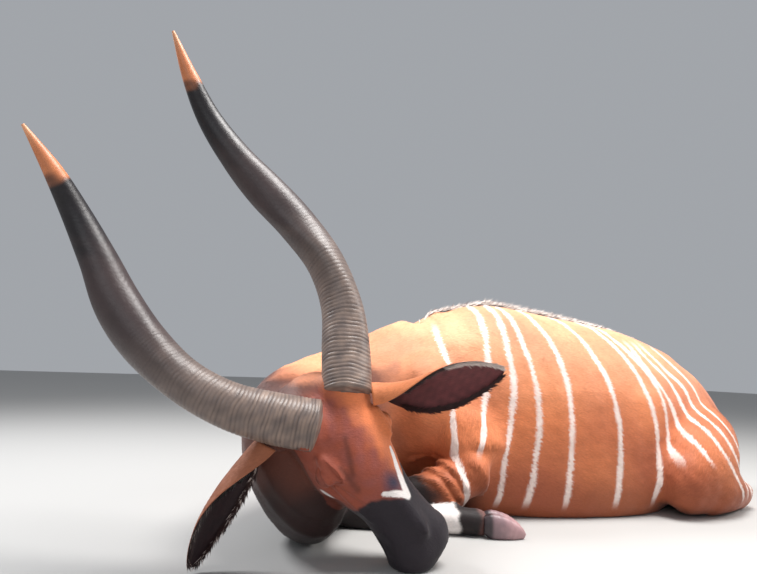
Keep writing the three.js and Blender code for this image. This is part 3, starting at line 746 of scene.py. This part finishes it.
# each: a path, its width and its height, negative for a groove; the face's are in the head's own frame
FACE_RIDGES = [
    # brow and cheek bone, and the crease from the eye's corner towards the nose
    ([(60, 76, -12), (100, 80, -12), (124, 68, -20)], 11, 3.5),
    ([(124, 76, -52), (170, 66, -66), (214, 56, -74)], 8, 2.6),
    ([(120, 78, -44), (150, 66, -50), (190, 52, -50)], 6, -2.4),
    ([(70, 88, -72), (110, 88, -76), (150, 76, -84)], 9, 2.2),
    # jaw muscle and the hollow in front of it
    ([(30, 84, -150), (90, 84, -140)], 22, 3.0),
    ([(150, 70, -120), (215, 58, -116)], 18, -3.0),
    # rim round the horn's base
    ([(44, 40, -8), (30, 84, -20), (0, 92, -40)], 9, 3.0),
    # line of the mouth, upper lip, nostril and its upper edge
    ([(250, 62, -117), (300, 66, -116), (345, 40, -115), (356, 0, -115)], 3.2, -4.0),
    ([(262, 60, -106), (305, 66, -105), (345, 42, -104)], 6, 2.0),
    ([(350, 26, -88), (340, 40, -80), (322, 54, -78)], 5, -8.0),
    ([(340, 22, -76), (322, 44, -68), (304, 56, -70)], 6, 3.0),
]
ELBOW_FOLDS = [
    [(-697, -165, 178), (-641, -165, 182), (-598, -212, 172), (-567, -262, 136)],
    [(-682, -155, 150), (-630, -180, 158), (-606, -258, 144), (-574, -277, 100)],
    [(-664, -172, 128), (-645, -226, 138), (-618, -270, 117), (-590, -274, 76)],
    [(-678, -232, 118), (-651, -256, 114), (-628, -273, 89), (-612, -278, 60)],
]
# shoulder blade, the dip behind it and the hollow of the flank
BODY_RIDGES = [
    ([(-560, 160, 450), (-600, 215, 300), (-600, 235, 190)], 46, 8),
    ([(-500, 190, 440), (-500, 230, 300), (-490, 240, 190)], 26, -5),
    ([(150, 200, 400), (110, 240, 300), (70, 265, 200)], 40, -8),
]
FIRST_RIB = -380
RIB_STEP = 58
RIB_COUNT = 8


def ribs():
    places = [FIRST_RIB + RIB_STEP * k for k in range(RIB_COUNT)]
    return [([(x, 190, 440), (x + 30, 250, 300), (x + 30, 262, 180)], 15, 1.3) for x in places]


def elbow_ridges():
    # raised folds with grooves between them
    folds = np.array(ELBOW_FOLDS, float)
    between = (folds[:-1] + folds[1:]) / 2
    return [(fold, 7, 5.5) for fold in folds] + [(line, 4.5, -3.5) for line in between]


def press(out, points, ridges):
    for side in (1, -1):
        for path, width, height in ridges:
            out += ridge(points, np.array(path) * [1, side, 1], width, height)


def skin_relief(mesh):
    edges, degree = neighbours(mesh)
    p = coords(mesh)
    h = to_head(p)
    in_face = (h[:, 0] > -10) & (np.abs(h[:, 1]) < 140)
    p = relax(p, edges, degree, np.where(in_face, 0.4, 0), 4)
    put(mesh, p)
    n = normals(mesh)
    out = np.zeros(len(p))
    press(out, h, FACE_RIDGES)
    press(out, p, elbow_ridges() + BODY_RIDGES + ribs())
    out += 1.2 * wobble(p, 130, 41) + 0.5 * wobble(p, 46, 42)
    # the skin lies inside the solids by the depth of the coat, except at the floor
    out -= COAT_DEPTH
    floor = step(3, 18, p[:, 2])
    p = p + n * (out * (0.15 + 0.85 * floor))[:, None]
    p = open_eyes(p)
    p[:, 2] = np.maximum(p[:, 2], 0.4)
    put(mesh, p)


def open_eyes(points):
    # lids lie close on the eyeball and leave a low slit, through which the skin drops behind the ball
    h = to_head(points)
    for side in (1, -1):
        centre = EYE * [1, side, 1]
        outward = unit([0.12, side * 0.95, 0.18])
        ahead = unit(np.array([1, 0, -0.25]) - outward * outward[0])
        upward = np.cross(ahead, outward) * -side
        upward = upward * np.sign(upward[2])
        q = h - centre
        t, b, a = q @ ahead, q @ upward, q @ outward
        reach = np.hypot(t, b)
        apart = np.linalg.norm(q, axis=1)
        weight = (1 - step(25, 42, reach)) * (a > 0)
        half = 3.4 * np.clip(1 - (t / 18) ** 2, 0, 1)
        edge = np.abs(b + 5.0 + t * 0.1) - half
        target = 21.6 + 1.4 * np.exp(-((edge - 2.5) / 2.2) ** 2)
        target -= 1.8 * np.exp(-((edge - 9) / 2.4) ** 2) * (b > 0)
        target = np.where((edge < 0) & (np.abs(t) < 19), 15.5, target)
        moved = centre + q / np.maximum(apart, 1e-6)[:, None] * target[:, None]
        h = h + (moved - h) * weight[:, None]
    return from_head(h)


skin_mesh = skin_shape()
skin_relief(skin_mesh)
skin_mesh.materials.clear()
skin_mesh.materials.append(skin_surface)
skin_mesh.polygons.foreach_set("use_smooth", [True] * len(skin_mesh.polygons))
paint(skin_mesh, "marking", markings(coords(skin_mesh)))
skin = placed("skin", skin_mesh)
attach(skin, "root")
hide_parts(*FLESH, "tail")


# coat: the corners of the triangles of one tuft, short or long
SHORT = np.array([0, 3, 1, 1, 3, 2, 2, 3, 0])
LONG = np.array([0, 3, 4, 0, 4, 1, 1, 4, 5, 1, 5, 2, 2, 5, 3, 2, 3, 0, 3, 6, 4, 4, 6, 5, 5, 6, 3])


def tuft_mesh(name, roots, normal, lie, length, width, rise, colours, uv, curl=None):
    # each tuft is a thin three-sided blade with a sunk root and a pointed tip; a long one is bent midway
    count = len(roots)
    short = curl is None
    side = unit(np.cross(lie, normal))
    length, width, rise = (np.broadcast_to(v, count)[:, None] for v in (length, width, rise))
    curl = 0 if curl is None else curl[:, None]
    thick = width * 0.28

    def ring(along, high, half, ridge_up):
        middle = roots + lie * along + normal * high + side * curl * (along / length) ** 2
        return [middle - side * half, middle + side * half, middle + normal * ridge_up]

    rings = ring(length * 0, -0.8, width * 0.5, thick)
    if not short:
        rings += ring(length * 0.5, rise * 0.6, width * 0.42, thick * 0.8)
    tip = roots + lie * length + normal * rise + side * curl
    points = np.stack([*rings, tip], axis=1).reshape(-1, 3)
    # hair that would pass through the floor lies down on it
    points[:, 2] = np.where(points[:, 2] < 4, 4 * np.exp(points[:, 2] / 4 - 1), points[:, 2])
    each = 4 if short else 7
    corners = (np.arange(count)[:, None] * each + (SHORT if short else LONG)[None]).ravel()
    mesh = bpy.data.meshes.new(name)
    mesh.vertices.add(len(points))
    mesh.vertices.foreach_set("co", (points * MM).astype(np.float32).ravel())
    mesh.loops.add(len(corners))
    mesh.loops.foreach_set("vertex_index", corners.astype(np.int32))
    mesh.polygons.add(len(corners) // 3)
    mesh.polygons.foreach_set("loop_start", np.arange(0, len(corners), 3, dtype=np.int32))
    mesh.polygons.foreach_set("use_smooth", np.ones(len(corners) // 3, bool))
    mesh.update(calc_edges=True)
    paint(mesh, "marking", np.repeat(colours, each, axis=0))
    # a small patch at the root's place on the unwrap of the skin
    patch = np.array([(0, 0), (1, 0), (0.5, 0.2), (0.1, 0.5), (0.9, 0.5), (0.5, 0.6), (0.5, 1)])
    patch = (patch[[0, 1, 2, 6]] if short else patch) * BAKE_PATCH
    spots = uv[:, None] * (1 - 2 * BAKE_PATCH) + patch[None]
    layer = mesh.uv_layers.new(name="OFBake")
    layer.data.foreach_set("uv", spots.reshape(-1, 2)[corners].astype(np.float32).ravel())
    # a tuft is shaded much as the skin under it
    spread = [-side, side, normal] * (1 if short else 2) + [lie * 0.4]
    spread = np.stack(spread, axis=1).reshape(-1, 3)
    shaded = unit(np.repeat(normal, each, axis=0) + 0.35 * spread)
    mesh.normals_split_custom_set_from_vertices(shaded.tolist())
    mesh.materials.append(tuft_surface)
    obj = placed(name, mesh)
    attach(obj, "root")


def scatter(mesh, count, density):
    # seeded places spread over the skin, with the chance of each face scaled by the density there
    mesh.calc_loop_triangles()
    tri = np.empty(len(mesh.loop_triangles) * 3, np.int32)
    mesh.loop_triangles.foreach_get("vertices", tri)
    tri = tri.reshape(-1, 3)
    p, n = coords(mesh), normals(mesh)
    a, b, c = p[tri[:, 0]], p[tri[:, 1]], p[tri[:, 2]]
    area = np.linalg.norm(np.cross(b - a, c - a), axis=1) * density((a + b + c) / 3)
    chance = np.cumsum(area) / area.sum()
    even = (np.arange(count) + rng.random(count)) / count
    pick = np.minimum(np.searchsorted(chance, even), len(tri) - 1)
    u, v = rng.random((2, count))
    flip = u + v > 1
    u, v = np.where(flip, 1 - u, u), np.where(flip, 1 - v, v)
    places = a[pick] + (b - a)[pick] * u[:, None] + (c - a)[pick] * v[:, None]
    tn = n[tri[pick]]
    facing = unit(tn[:, 0] * (1 - u - v)[:, None] + tn[:, 1] * u[:, None] + tn[:, 2] * v[:, None])
    return places, facing


def fineness(points):
    # 1 on the trunk, down to about 0.45 on the face and feet
    h = to_head(points)
    face = step(-40, 60, h[:, 0]) * near_head(h)
    feet = (1 - step(40, 90, points[:, 2])) * ((points[:, 1] < -150) | (points[:, 1] > 150))
    return 1 - 0.55 * np.maximum(face, feet * 0.8)


def coat_density(points):
    # finer and closer tufts on the face and feet, and none under the body
    return (1 / fineness(points) ** 1.6) * (points[:, 2] > 4) * clear_of_eyes(points)


def body_coat(total):
    roots, facing = scatter(skin_mesh, total, coat_density)
    keep = roots[:, 2] > 4
    roots, facing = roots[keep], facing[keep]
    lie, which, far, spin = lie_of_coat(roots, facing)
    size = fineness(roots)
    count = len(roots)
    length = 13 * size * rng.uniform(0.75, 1.25, count)
    width = 4.2 * size * rng.uniform(0.75, 1.25, count)
    rise = (0.7 + 0.6 * rng.random(count)) * size
    side = np.cross(lie, facing)
    lie = unit(lie + side * rng.normal(0, 0.13, count)[:, None])
    tone = 1 + rng.normal(0, 0.06, count)
    colours = markings(roots + lie * length[:, None] * 0.4) * tone[:, None]
    uv = np.stack([far, spin / (2 * math.pi) + 0.5], axis=1)
    groups = [
        ("coat_trunk_left", (which == 0) & (roots[:, 1] < 0)),
        ("coat_trunk_right", (which == 0) & (roots[:, 1] >= 0)),
        ("coat_neck", which == 1),
        ("coat_head", which == 2),
    ]
    for index, name in enumerate(TUBE_NAMES[3:], start=3):
        groups.append((f"coat_{name}", which == index))
    for name, mask in groups:
        chosen = np.nonzero(mask)[0]
        parts = max(1, math.ceil(len(chosen) / TUFTS_PER_PIECE))
        for k in range(parts):
            some = chosen[k::parts]
            if len(some) < 3:
                continue
            piece = f"{name}_{k}" if parts > 1 else name
            tuft_mesh(piece, *(v[some] for v in (roots, facing, lie, length, width, rise, colours, uv)))


def clear_of_eyes(points):
    # no tufts on the eyes or under the horns
    h = to_head(points)
    free = np.ones(len(points))
    for side in (1, -1):
        free *= np.linalg.norm(h - EYE * [1, side, 1], axis=1) > EYE_CLEARANCE
        free *= np.linalg.norm(h - [0, side * 44, -20], axis=1) > 40
    return free


CREST_START = -610
CREST_LENGTH = 960


def crest_coat():
    # longer pale hair along the spine, with darker hairs among it
    count = 3600
    along = rng.random(count)
    x = CREST_START + CREST_LENGTH * along
    tall = 15 + 20 * np.sin(math.pi * np.clip(along * 1.2 + 0.1, 0, 1))
    y = rng.normal(0, 5.5, count)
    roots = np.stack([x, y, spine_top(x) - 4], axis=1)
    normal = unit(np.stack([np.zeros(count), y / 18, np.ones(count)], axis=1))
    back = rng.normal(0.9, 0.2, count)
    aside = y / 16 + rng.normal(0, 0.15, count)
    lie = unit(np.stack([back, aside, rng.normal(0.42, 0.16, count)], axis=1))
    up = square_to(lie, normal)
    pale = rng.random(count) < 0.72
    colours = np.where(pale[:, None], srgb(226, 210, 200), srgb(92, 62, 52))
    colours = colours * rng.uniform(0.8, 1.1, count)[:, None]
    length = tall * rng.uniform(0.6, 1.15, count)
    rise = rng.normal(2, 2, count)
    uv = np.stack([along, np.clip(0.5 + y / 60, 0, 1)], axis=1)
    tuft_mesh("crest_hair", roots, up, lie, length, 3.2, rise, colours, uv, rng.normal(0, 3, count))


def tail_coat():
    # long dark hair round the end of the tail, lying on the floor
    count = 2200
    t = rng.uniform(0.55, 0.98, count)
    line = np.array([s[0] for s in TAIL_STATIONS], float)
    at = spline(line, t)
    ahead = unit(spline(line, np.minimum(t + 0.02, 1)) - spline(line, t - 0.02))
    spin = rng.uniform(0, 2 * math.pi, count)
    side = unit(np.cross(ahead, [0, 0, 1]))
    up = np.cross(side, ahead)
    normal = side * np.cos(spin)[:, None] + up * np.sin(spin)[:, None]
    roots = at + normal * 9
    lie = unit(ahead + normal * rng.uniform(0.05, 0.32, count)[:, None])
    lie[:, 2] = np.where(roots[:, 2] < 40, np.abs(lie[:, 2]) * 0.1, lie[:, 2])
    lie = unit(lie)
    roots[:, 2] = np.maximum(roots[:, 2], 3)
    facing = square_to(lie, normal)
    length = rng.uniform(50, 96, count) * np.where(t > 0.9, 0.85, 1)
    colours = BLACK * rng.uniform(0.6, 1.5, count)[:, None]
    tuft_mesh("tail_tuft", roots, facing, lie, length, 4.2, 2.0, colours,
              np.stack([t, spin / (2 * math.pi)], axis=1), rng.normal(0, 6, count))


body_coat(FULL_TUFTS)
crest_coat()
tail_coat()


# horns: centre lines in the head's own frame, and radii from the base to the tip
HORN_LINES = {
    "left": [(4, 44, -19), (-67, 107, -24), (-146, 169, -27), (-240, 206, -29), (-343, 217, -38),
             (-443, 210, -37), (-539, 200, -26), (-632, 198, -6), (-715, 205, 30), (-800, 219, 72)],
    "right": [(15, -34, -22), (-55, -87, -42), (-131, -135, -58), (-217, -165, -71), (-310, -174, -79),
              (-405, -168, -78), (-496, -150, -63), (-583, -136, -40), (-660, -130, -2), (-740, -131, 36)],
}
HORN_RADII = [48, 47, 43, 41, 42, 41, 34, 26, 17, 3]
HORN_RINGS = 640
HORN_SIDES = 56


def grooves(t, angle):
    # growth rings, uneven and fading out half way up
    uneven = 0.35 * np.sin(angle * 2 + 3 * t) + 0.12 * np.sin(angle * 5 + 40 * t) + 0.9 * np.sin(13 * t)
    phase = 112 * t + uneven
    tooth = np.abs(np.sin(phase * math.pi)) ** 0.6
    depth = 0.7 + 0.3 * np.sin(phase * 1.7 + angle)
    return (1 - tooth) * depth * np.clip(1 - t / 0.5, 0, 1) ** 0.6


def horn(name):
    # a low keel winds once round the horn, and the base is rounded where it meets the skin
    sign = 1 if name == "left" else -1
    stations = [(p, r, r, r, 2.0) for p, r in zip(HORN_LINES[name], HORN_RADII)]

    def shape(t, angle):
        twist = angle - sign * 2 * math.pi * 0.9 * t
        keel = np.maximum(0, np.cos(twist)) ** 6 * 0.16 + np.maximum(0, np.cos(twist + 2.4)) ** 6 * 0.06
        keel = keel * np.sin(math.pi * np.minimum(1, t * 1.3 + 0.12))
        rounded = 1 - 0.4 * (1 - step(0, 0.022, t)) ** 2
        return (0.995 + keel - 0.034 * grooves(t, angle)) * rounded

    points, faces = loft(stations, HORN_RINGS, HORN_SIDES, shape)
    obj = make(f"horn_shell_{name}", from_head(points), faces, horn_surface)
    h = to_head(coords(obj.data))
    t = np.append(np.repeat(np.arange(HORN_RINGS + 1) / HORN_RINGS, HORN_SIDES), [0, 1])
    turn = np.arange(HORN_SIDES) * 2 * math.pi / HORN_SIDES
    angle = np.append(np.tile(turn, HORN_RINGS + 1), [0, 0])
    rough = wobble(h, 40, 51)
    paint(obj.data, "marking", layered(
        plain(srgb(104, 90, 84), h),
        (srgb(136, 116, 104), (1 - step(0.05, 0.4, t)) * (0.5 + 0.5 * wobble(h, 25, 52))),
        # painted shade in the grooves of the growth rings
        (srgb(40, 30, 32), grooves(t, angle) * 0.9),
        (srgb(60, 48, 48), step(0.28, 0.50, t + 0.02 * rough)),
        (srgb(22, 17, 21), step(0.60, 0.76, t + 0.02 * rough)),
        (srgb(196, 120, 78), step(0.855, 0.885, t + 0.01 * rough)),
        (srgb(226, 170, 130), step(0.93, 0.99, t) * 0.6),
    ))
    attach(obj, "root")
    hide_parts(f"horn_{name}")


# ears: root, tip, the way the hollow faces, the twist at the root and the bow towards the hollow
EAR_PLACES = {
    "left": ((-890, -452, 338), (-622, -520, 386), (-0.1, -0.93, -0.36), 1.6, 14),
    "right": ((-1104, -440, 240), (-1216, -424, 10), (0.70, -0.68, -0.25), -0.9, -20),
}
EAR_HALF_WIDTH = 66.0
EAR_WALL = 3.0
EAR_LENGTH_LEAST = 250.0
# the right ear's colours are darker copies of the left's: painted shade
EAR_INSIDE = {"left": srgb(108, 50, 52), "right": srgb(46, 24, 28)}
EAR_DARK = {"left": srgb(44, 20, 22), "right": srgb(24, 14, 18)}
EAR_BACK = {"left": srgb(208, 124, 78), "right": srgb(160, 96, 66)}


def ear_frame(name):
    root, tip, hollow = (np.array(v, float) for v in EAR_PLACES[name][:3])
    along = unit(tip - root)
    opening = square_to(along, hollow)
    return root, np.stack([along, np.cross(opening, along), opening], axis=1), np.linalg.norm(tip - root)


def ear_point(name, length, t, s, layer):
    # t runs from root to tip, s from edge to edge, and layer is 1 inside the cup and -1 on its back
    twist, bow = EAR_PLACES[name][3:]
    spread = EAR_HALF_WIDTH * (0.5 + 0.5 * np.sin(math.pi * np.minimum(1, 0.12 + t * 0.8)) ** 0.9)
    spread = spread * np.sqrt(np.maximum(0.0009, 1 - t**2.6))
    curl = 2.5 * (1 - t) ** 1.3 + 0.75
    angle = s * curl * 0.5
    radius = spread / np.maximum(curl * 0.5, 0.2)
    edge = np.sqrt(np.maximum(0.05, 1 - s * s))
    half = layer * EAR_WALL * (0.35 + 0.65 * edge) * (1 - 0.6 * t)
    fold = 1.4 * np.sin(s * 9) * (1 - t) * (layer > 0)
    r = radius - half - fold
    y = r * np.sin(angle)
    z = radius - r * np.cos(angle) + bow * np.sin(math.pi * t) - 20
    turn = twist * (1 - t) ** 3
    across = y * np.cos(turn) - z * np.sin(turn)
    return np.stack([length * t, across, y * np.sin(turn) + z * np.cos(turn) + 20], axis=-1)


def ear(name):
    root, turn, length = ear_frame(name)
    length = max(length, EAR_LENGTH_LEAST)
    rings, sides = 70, 44
    t, s = np.meshgrid(np.linspace(0, 1, rings + 1), np.linspace(-1, 1, sides + 1), indexing="ij")
    grids = [ear_point(name, length, t, s, layer).reshape(-1, 3) for layer in (1, -1)]
    row = sides + 1
    other = (rings + 1) * row
    faces = []
    for j in range(rings):
        for i in range(sides):
            a = j * row + i
            faces.append((a, a + row, a + row + 1, a + 1))
            faces.append((other + a, other + a + 1, other + a + row + 1, other + a + row))
        for i in (0, sides):
            a = j * row + i
            faces.append((a, other + a, other + a + row, a + row))
    for i in range(sides):
        for a in (i, rings * row + i):
            faces.append((a, a + 1, other + a + 1, other + a))
    local = np.concatenate(grids)
    obj = make(f"ear_shell_{name}", local @ turn.T + root, faces, skin_surface)
    p = (coords(obj.data) - root) @ turn
    inside = (np.arange(len(p)) < other).astype(float)
    far = np.clip(p[:, 0] / length, 0, 1)
    back = mix(plain(EAR_BACK[name], p), EAR_TIP, step(0.5, 0.95, far) * 0.5)
    # painted shade deep in the cup towards the root, over a tone that varies at random
    shade = np.clip(0.25 + 0.2 * wobble(p, 22, 61) + 0.8 * (1 - step(0.05, 0.35, far)), 0, 1)
    cup = mix(plain(EAR_INSIDE[name], p), EAR_DARK[name], shade)
    paint(obj.data, "marking", back + (cup - back) * inside[:, None])
    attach(obj, "root")
    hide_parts(f"ear_{name}")
    ear_hair(name, root, turn, length)


def ear_surface(name, length, t, s, layer):
    # places on one face of the ear, the ways to its tip and across it, and the outward normal
    p = ear_point(name, length, t, s, layer)
    ahead = unit(ear_point(name, length, t + 0.01, s, layer) - p)
    across = unit(ear_point(name, length, t, s + 0.01, layer) - p)
    normal = unit(np.cross(ahead, across))
    outward = p - ear_point(name, length, t, s, -layer)
    return p, ahead, across, normal * np.sign((normal * outward).sum(1, keepdims=True))


def ear_hair(name, root, turn, length):
    # short hair on the back, and a fringe of longer hair along both edges
    count = 3000
    t, s = rng.uniform(0.02, 0.97, count), rng.uniform(-0.98, 0.98, count)
    p, ahead, across, normal = ear_surface(name, length, t, s, -1)
    tone = rng.uniform(0.85, 1.1, count)[:, None]
    colours = mix(plain(EAR_BACK[name], p), EAR_TIP, step(0.5, 0.95, t) * 0.5) * tone
    uv = np.stack([t * 0.99, s * 0.49 + 0.5], axis=1)
    tuft_mesh(f"ear_coat_{name}", p @ turn.T + root, normal @ turn.T, ahead @ turn.T,
              rng.uniform(7, 12, count), 2.6, 0.9, colours, uv)
    count = 1500
    t = rng.uniform(0.2, 0.97, count)
    edge = np.where(rng.random(count) < 0.5, 1, -1)
    s = edge * rng.uniform(0.90, 1.0, count)
    p, ahead, across, normal = ear_surface(name, length, t, s, 1)
    sway = edge[:, None] * rng.uniform(-0.5, 0.5, count)[:, None]
    lie = unit(ahead * 0.9 - across * sway + normal * rng.uniform(0.0, 0.5, count)[:, None])
    facing = square_to(lie, normal)
    white = (edge == 1) & (t > 0.5) if name == "left" else rng.random(count) < 0.12
    colours = np.where(white[:, None], srgb(226, 208, 200), srgb(56, 30, 28))
    colours = colours * rng.uniform(0.75, 1.1, count)[:, None]
    uv = np.stack([t * 0.99, s * 0.49 + 0.5], axis=1)
    tuft_mesh(f"ear_fringe_{name}", p @ turn.T + root, facing @ turn.T, lie @ turn.T,
              rng.uniform(10, 20, count), 1.8, 1.5, colours, uv, rng.normal(0, 2, count))


# eyes and hooves
def eye(name):
    sign = 1 if name == "left" else -1
    points, faces = ball(EYE * [1, sign, 1], (EYE_RADIUS,) * 3, 48, 28)
    obj = make(f"eyeball_{name}", from_head(points), faces, eye_surface)
    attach(obj, "root")
    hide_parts(f"eye_{name}")


HOOF_LENGTH = 82.0
CLAW_HALF_WIDTH = 16.0


def hoof(name, heel, toe, turn):
    start = np.array(heel, float)
    aim = unit(np.array(toe, float) - start)
    across = np.array([-aim[1], aim[0], 0])
    spread = CLAW_HALF_WIDTH + 1.5

    def at(distance, z, inward=0):
        p = start + aim * distance + across * turn * (spread - inward)
        return (p[0], p[1], z)

    stations = [
        (at(-14, 28), 11, 19, 20, 2.0),
        (at(4, 28), CLAW_HALF_WIDTH, 27, 30, 2.4),
        (at(HOOF_LENGTH * 0.45, 24), CLAW_HALF_WIDTH, 24, 28, 2.4),
        (at(HOOF_LENGTH * 0.8, 16, 3), 11, 15, 20, 2.3),
        (at(HOOF_LENGTH, 7, 6), 3, 5, 8, 2.0),
    ]

    def shape(t, angle):
        return 1 + 0.012 * np.sin(t * 70 + np.sin(angle)) * np.sin(math.pi * t)

    points, faces = loft(stations, 60, 32, shape)
    points[:, 2] = np.maximum(points[:, 2], 0.1)
    obj = make(f"claw_{name}", points, faces, horn_surface)
    p = coords(obj.data)
    t = ((p - start) @ aim) / HOOF_LENGTH
    paler = step(0.2, 0.8, t + 0.1 * wobble(p, 20, 71))
    colour = mix(plain(srgb(128, 104, 108), p), srgb(168, 132, 134), paler)
    colour = mix(colour, srgb(52, 42, 46), 1 - step(0.0, 0.12, t))
    paint(obj.data, "marking", colour)
    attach(obj, "root")
    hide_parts(f"hoof_{name}")


for side_name, y in (("left", -1), ("right", 1)):
    horn(side_name)
    ear(side_name)
    eye(side_name)
    for claw_name, turn in (("outer", 1), ("inner", -1)):
        hoof(f"front_{side_name}_{claw_name}", (-544, y * 322, 0), (-464, y * 350, 0), turn)
        hoof(f"hind_{side_name}_{claw_name}", (60, y * 147, 0), (-22, y * 151, 0), turn)


# camera at the photograph's place, and the studio
def camera():
    yaw, pitch, roll = (math.radians(v) for v in CAMERA_TURN)
    data = bpy.data.cameras.new("camera")
    data.sensor_width = SENSOR_WIDTH
    data.lens = SENSOR_WIDTH * FOCAL_PIXELS / PICTURE_WIDTH
    obj = placed("camera", data)
    tilt = Matrix.Rotation(math.pi / 2 + pitch, 4, "X") @ Matrix.Rotation(roll, 4, "Z")
    obj.matrix_world = Matrix.Translation(CAMERA_PLACE) @ Matrix.Rotation(-yaw, 4, "Z") @ tilt
    bpy.context.scene.camera = obj


def plain_material(name, colour, roughness):
    material, tree, nodes, shader = new_material(name)
    noise = noise_node(nodes, 6, 2)
    tone = nodes.new("ShaderNodeMixRGB")
    tone.inputs["Color1"].default_value = (*[c * 0.97 for c in colour], 1)
    tone.inputs["Color2"].default_value = (*colour, 1)
    tree.links.new(noise.outputs["Fac"], tone.inputs["Fac"])
    tree.links.new(tone.outputs["Color"], shader.inputs["Base Color"])
    shader.inputs["Roughness"].default_value = roughness
    return material


FLOOR_HALF = 14000
FLOOR_HEIGHT = -0.5
FLOOR_COLOUR = (0.42, 0.415, 0.405)
# each: place, aim, size, power and colour
LIGHTS = {
    "key": ((-0.1, -0.7, 2.7), (-0.1, -0.05, 0.35), 1.5, 120, (1.0, 0.98, 0.96)),
    "back": ((-2.7, 1.1, 2.5), (-1.1, -0.3, 0.6), 0.9, 90, (0.97, 0.98, 1.0)),
    "fill": ((-3.0, -3.0, 1.9), (-0.6, -0.3, 0.2), 2.4, 24, (0.95, 0.97, 1.0)),
    "side": ((2.4, -1.2, 2.0), (0.2, -0.1, 0.3), 1.6, 60, (1.0, 0.98, 0.95)),
}


def studio():
    signs = ((-1, -1), (1, -1), (1, 1), (-1, 1))
    corners = [(x * FLOOR_HALF, y * FLOOR_HALF, FLOOR_HEIGHT) for x, y in signs]
    surface = plain_material("floor_surface", FLOOR_COLOUR, 0.9)
    floor = make("floor", corners, [(0, 1, 2, 3)], surface, smooth=False)
    world = bpy.data.worlds.new("studio")
    bpy.context.scene.world = world
    world.use_nodes = True
    background = world.node_tree.nodes["Background"]
    background.inputs["Color"].default_value = (0.86, 0.90, 0.96, 1)
    background.inputs["Strength"].default_value = 0.42
    for name, (place, target, width, power, colour) in LIGHTS.items():
        data = bpy.data.lights.new(name, "AREA")
        data.shape = "DISK"
        data.size = width
        data.energy = power
        data.color = colour
        obj = placed(name, data)
        obj.location = place
        aim = Vector(target) - Vector(place)
        obj.rotation_euler = aim.to_track_quat("-Z", "Y").to_euler()


camera()
studio()
bpy.context.scene.view_settings.view_transform = "Standard"
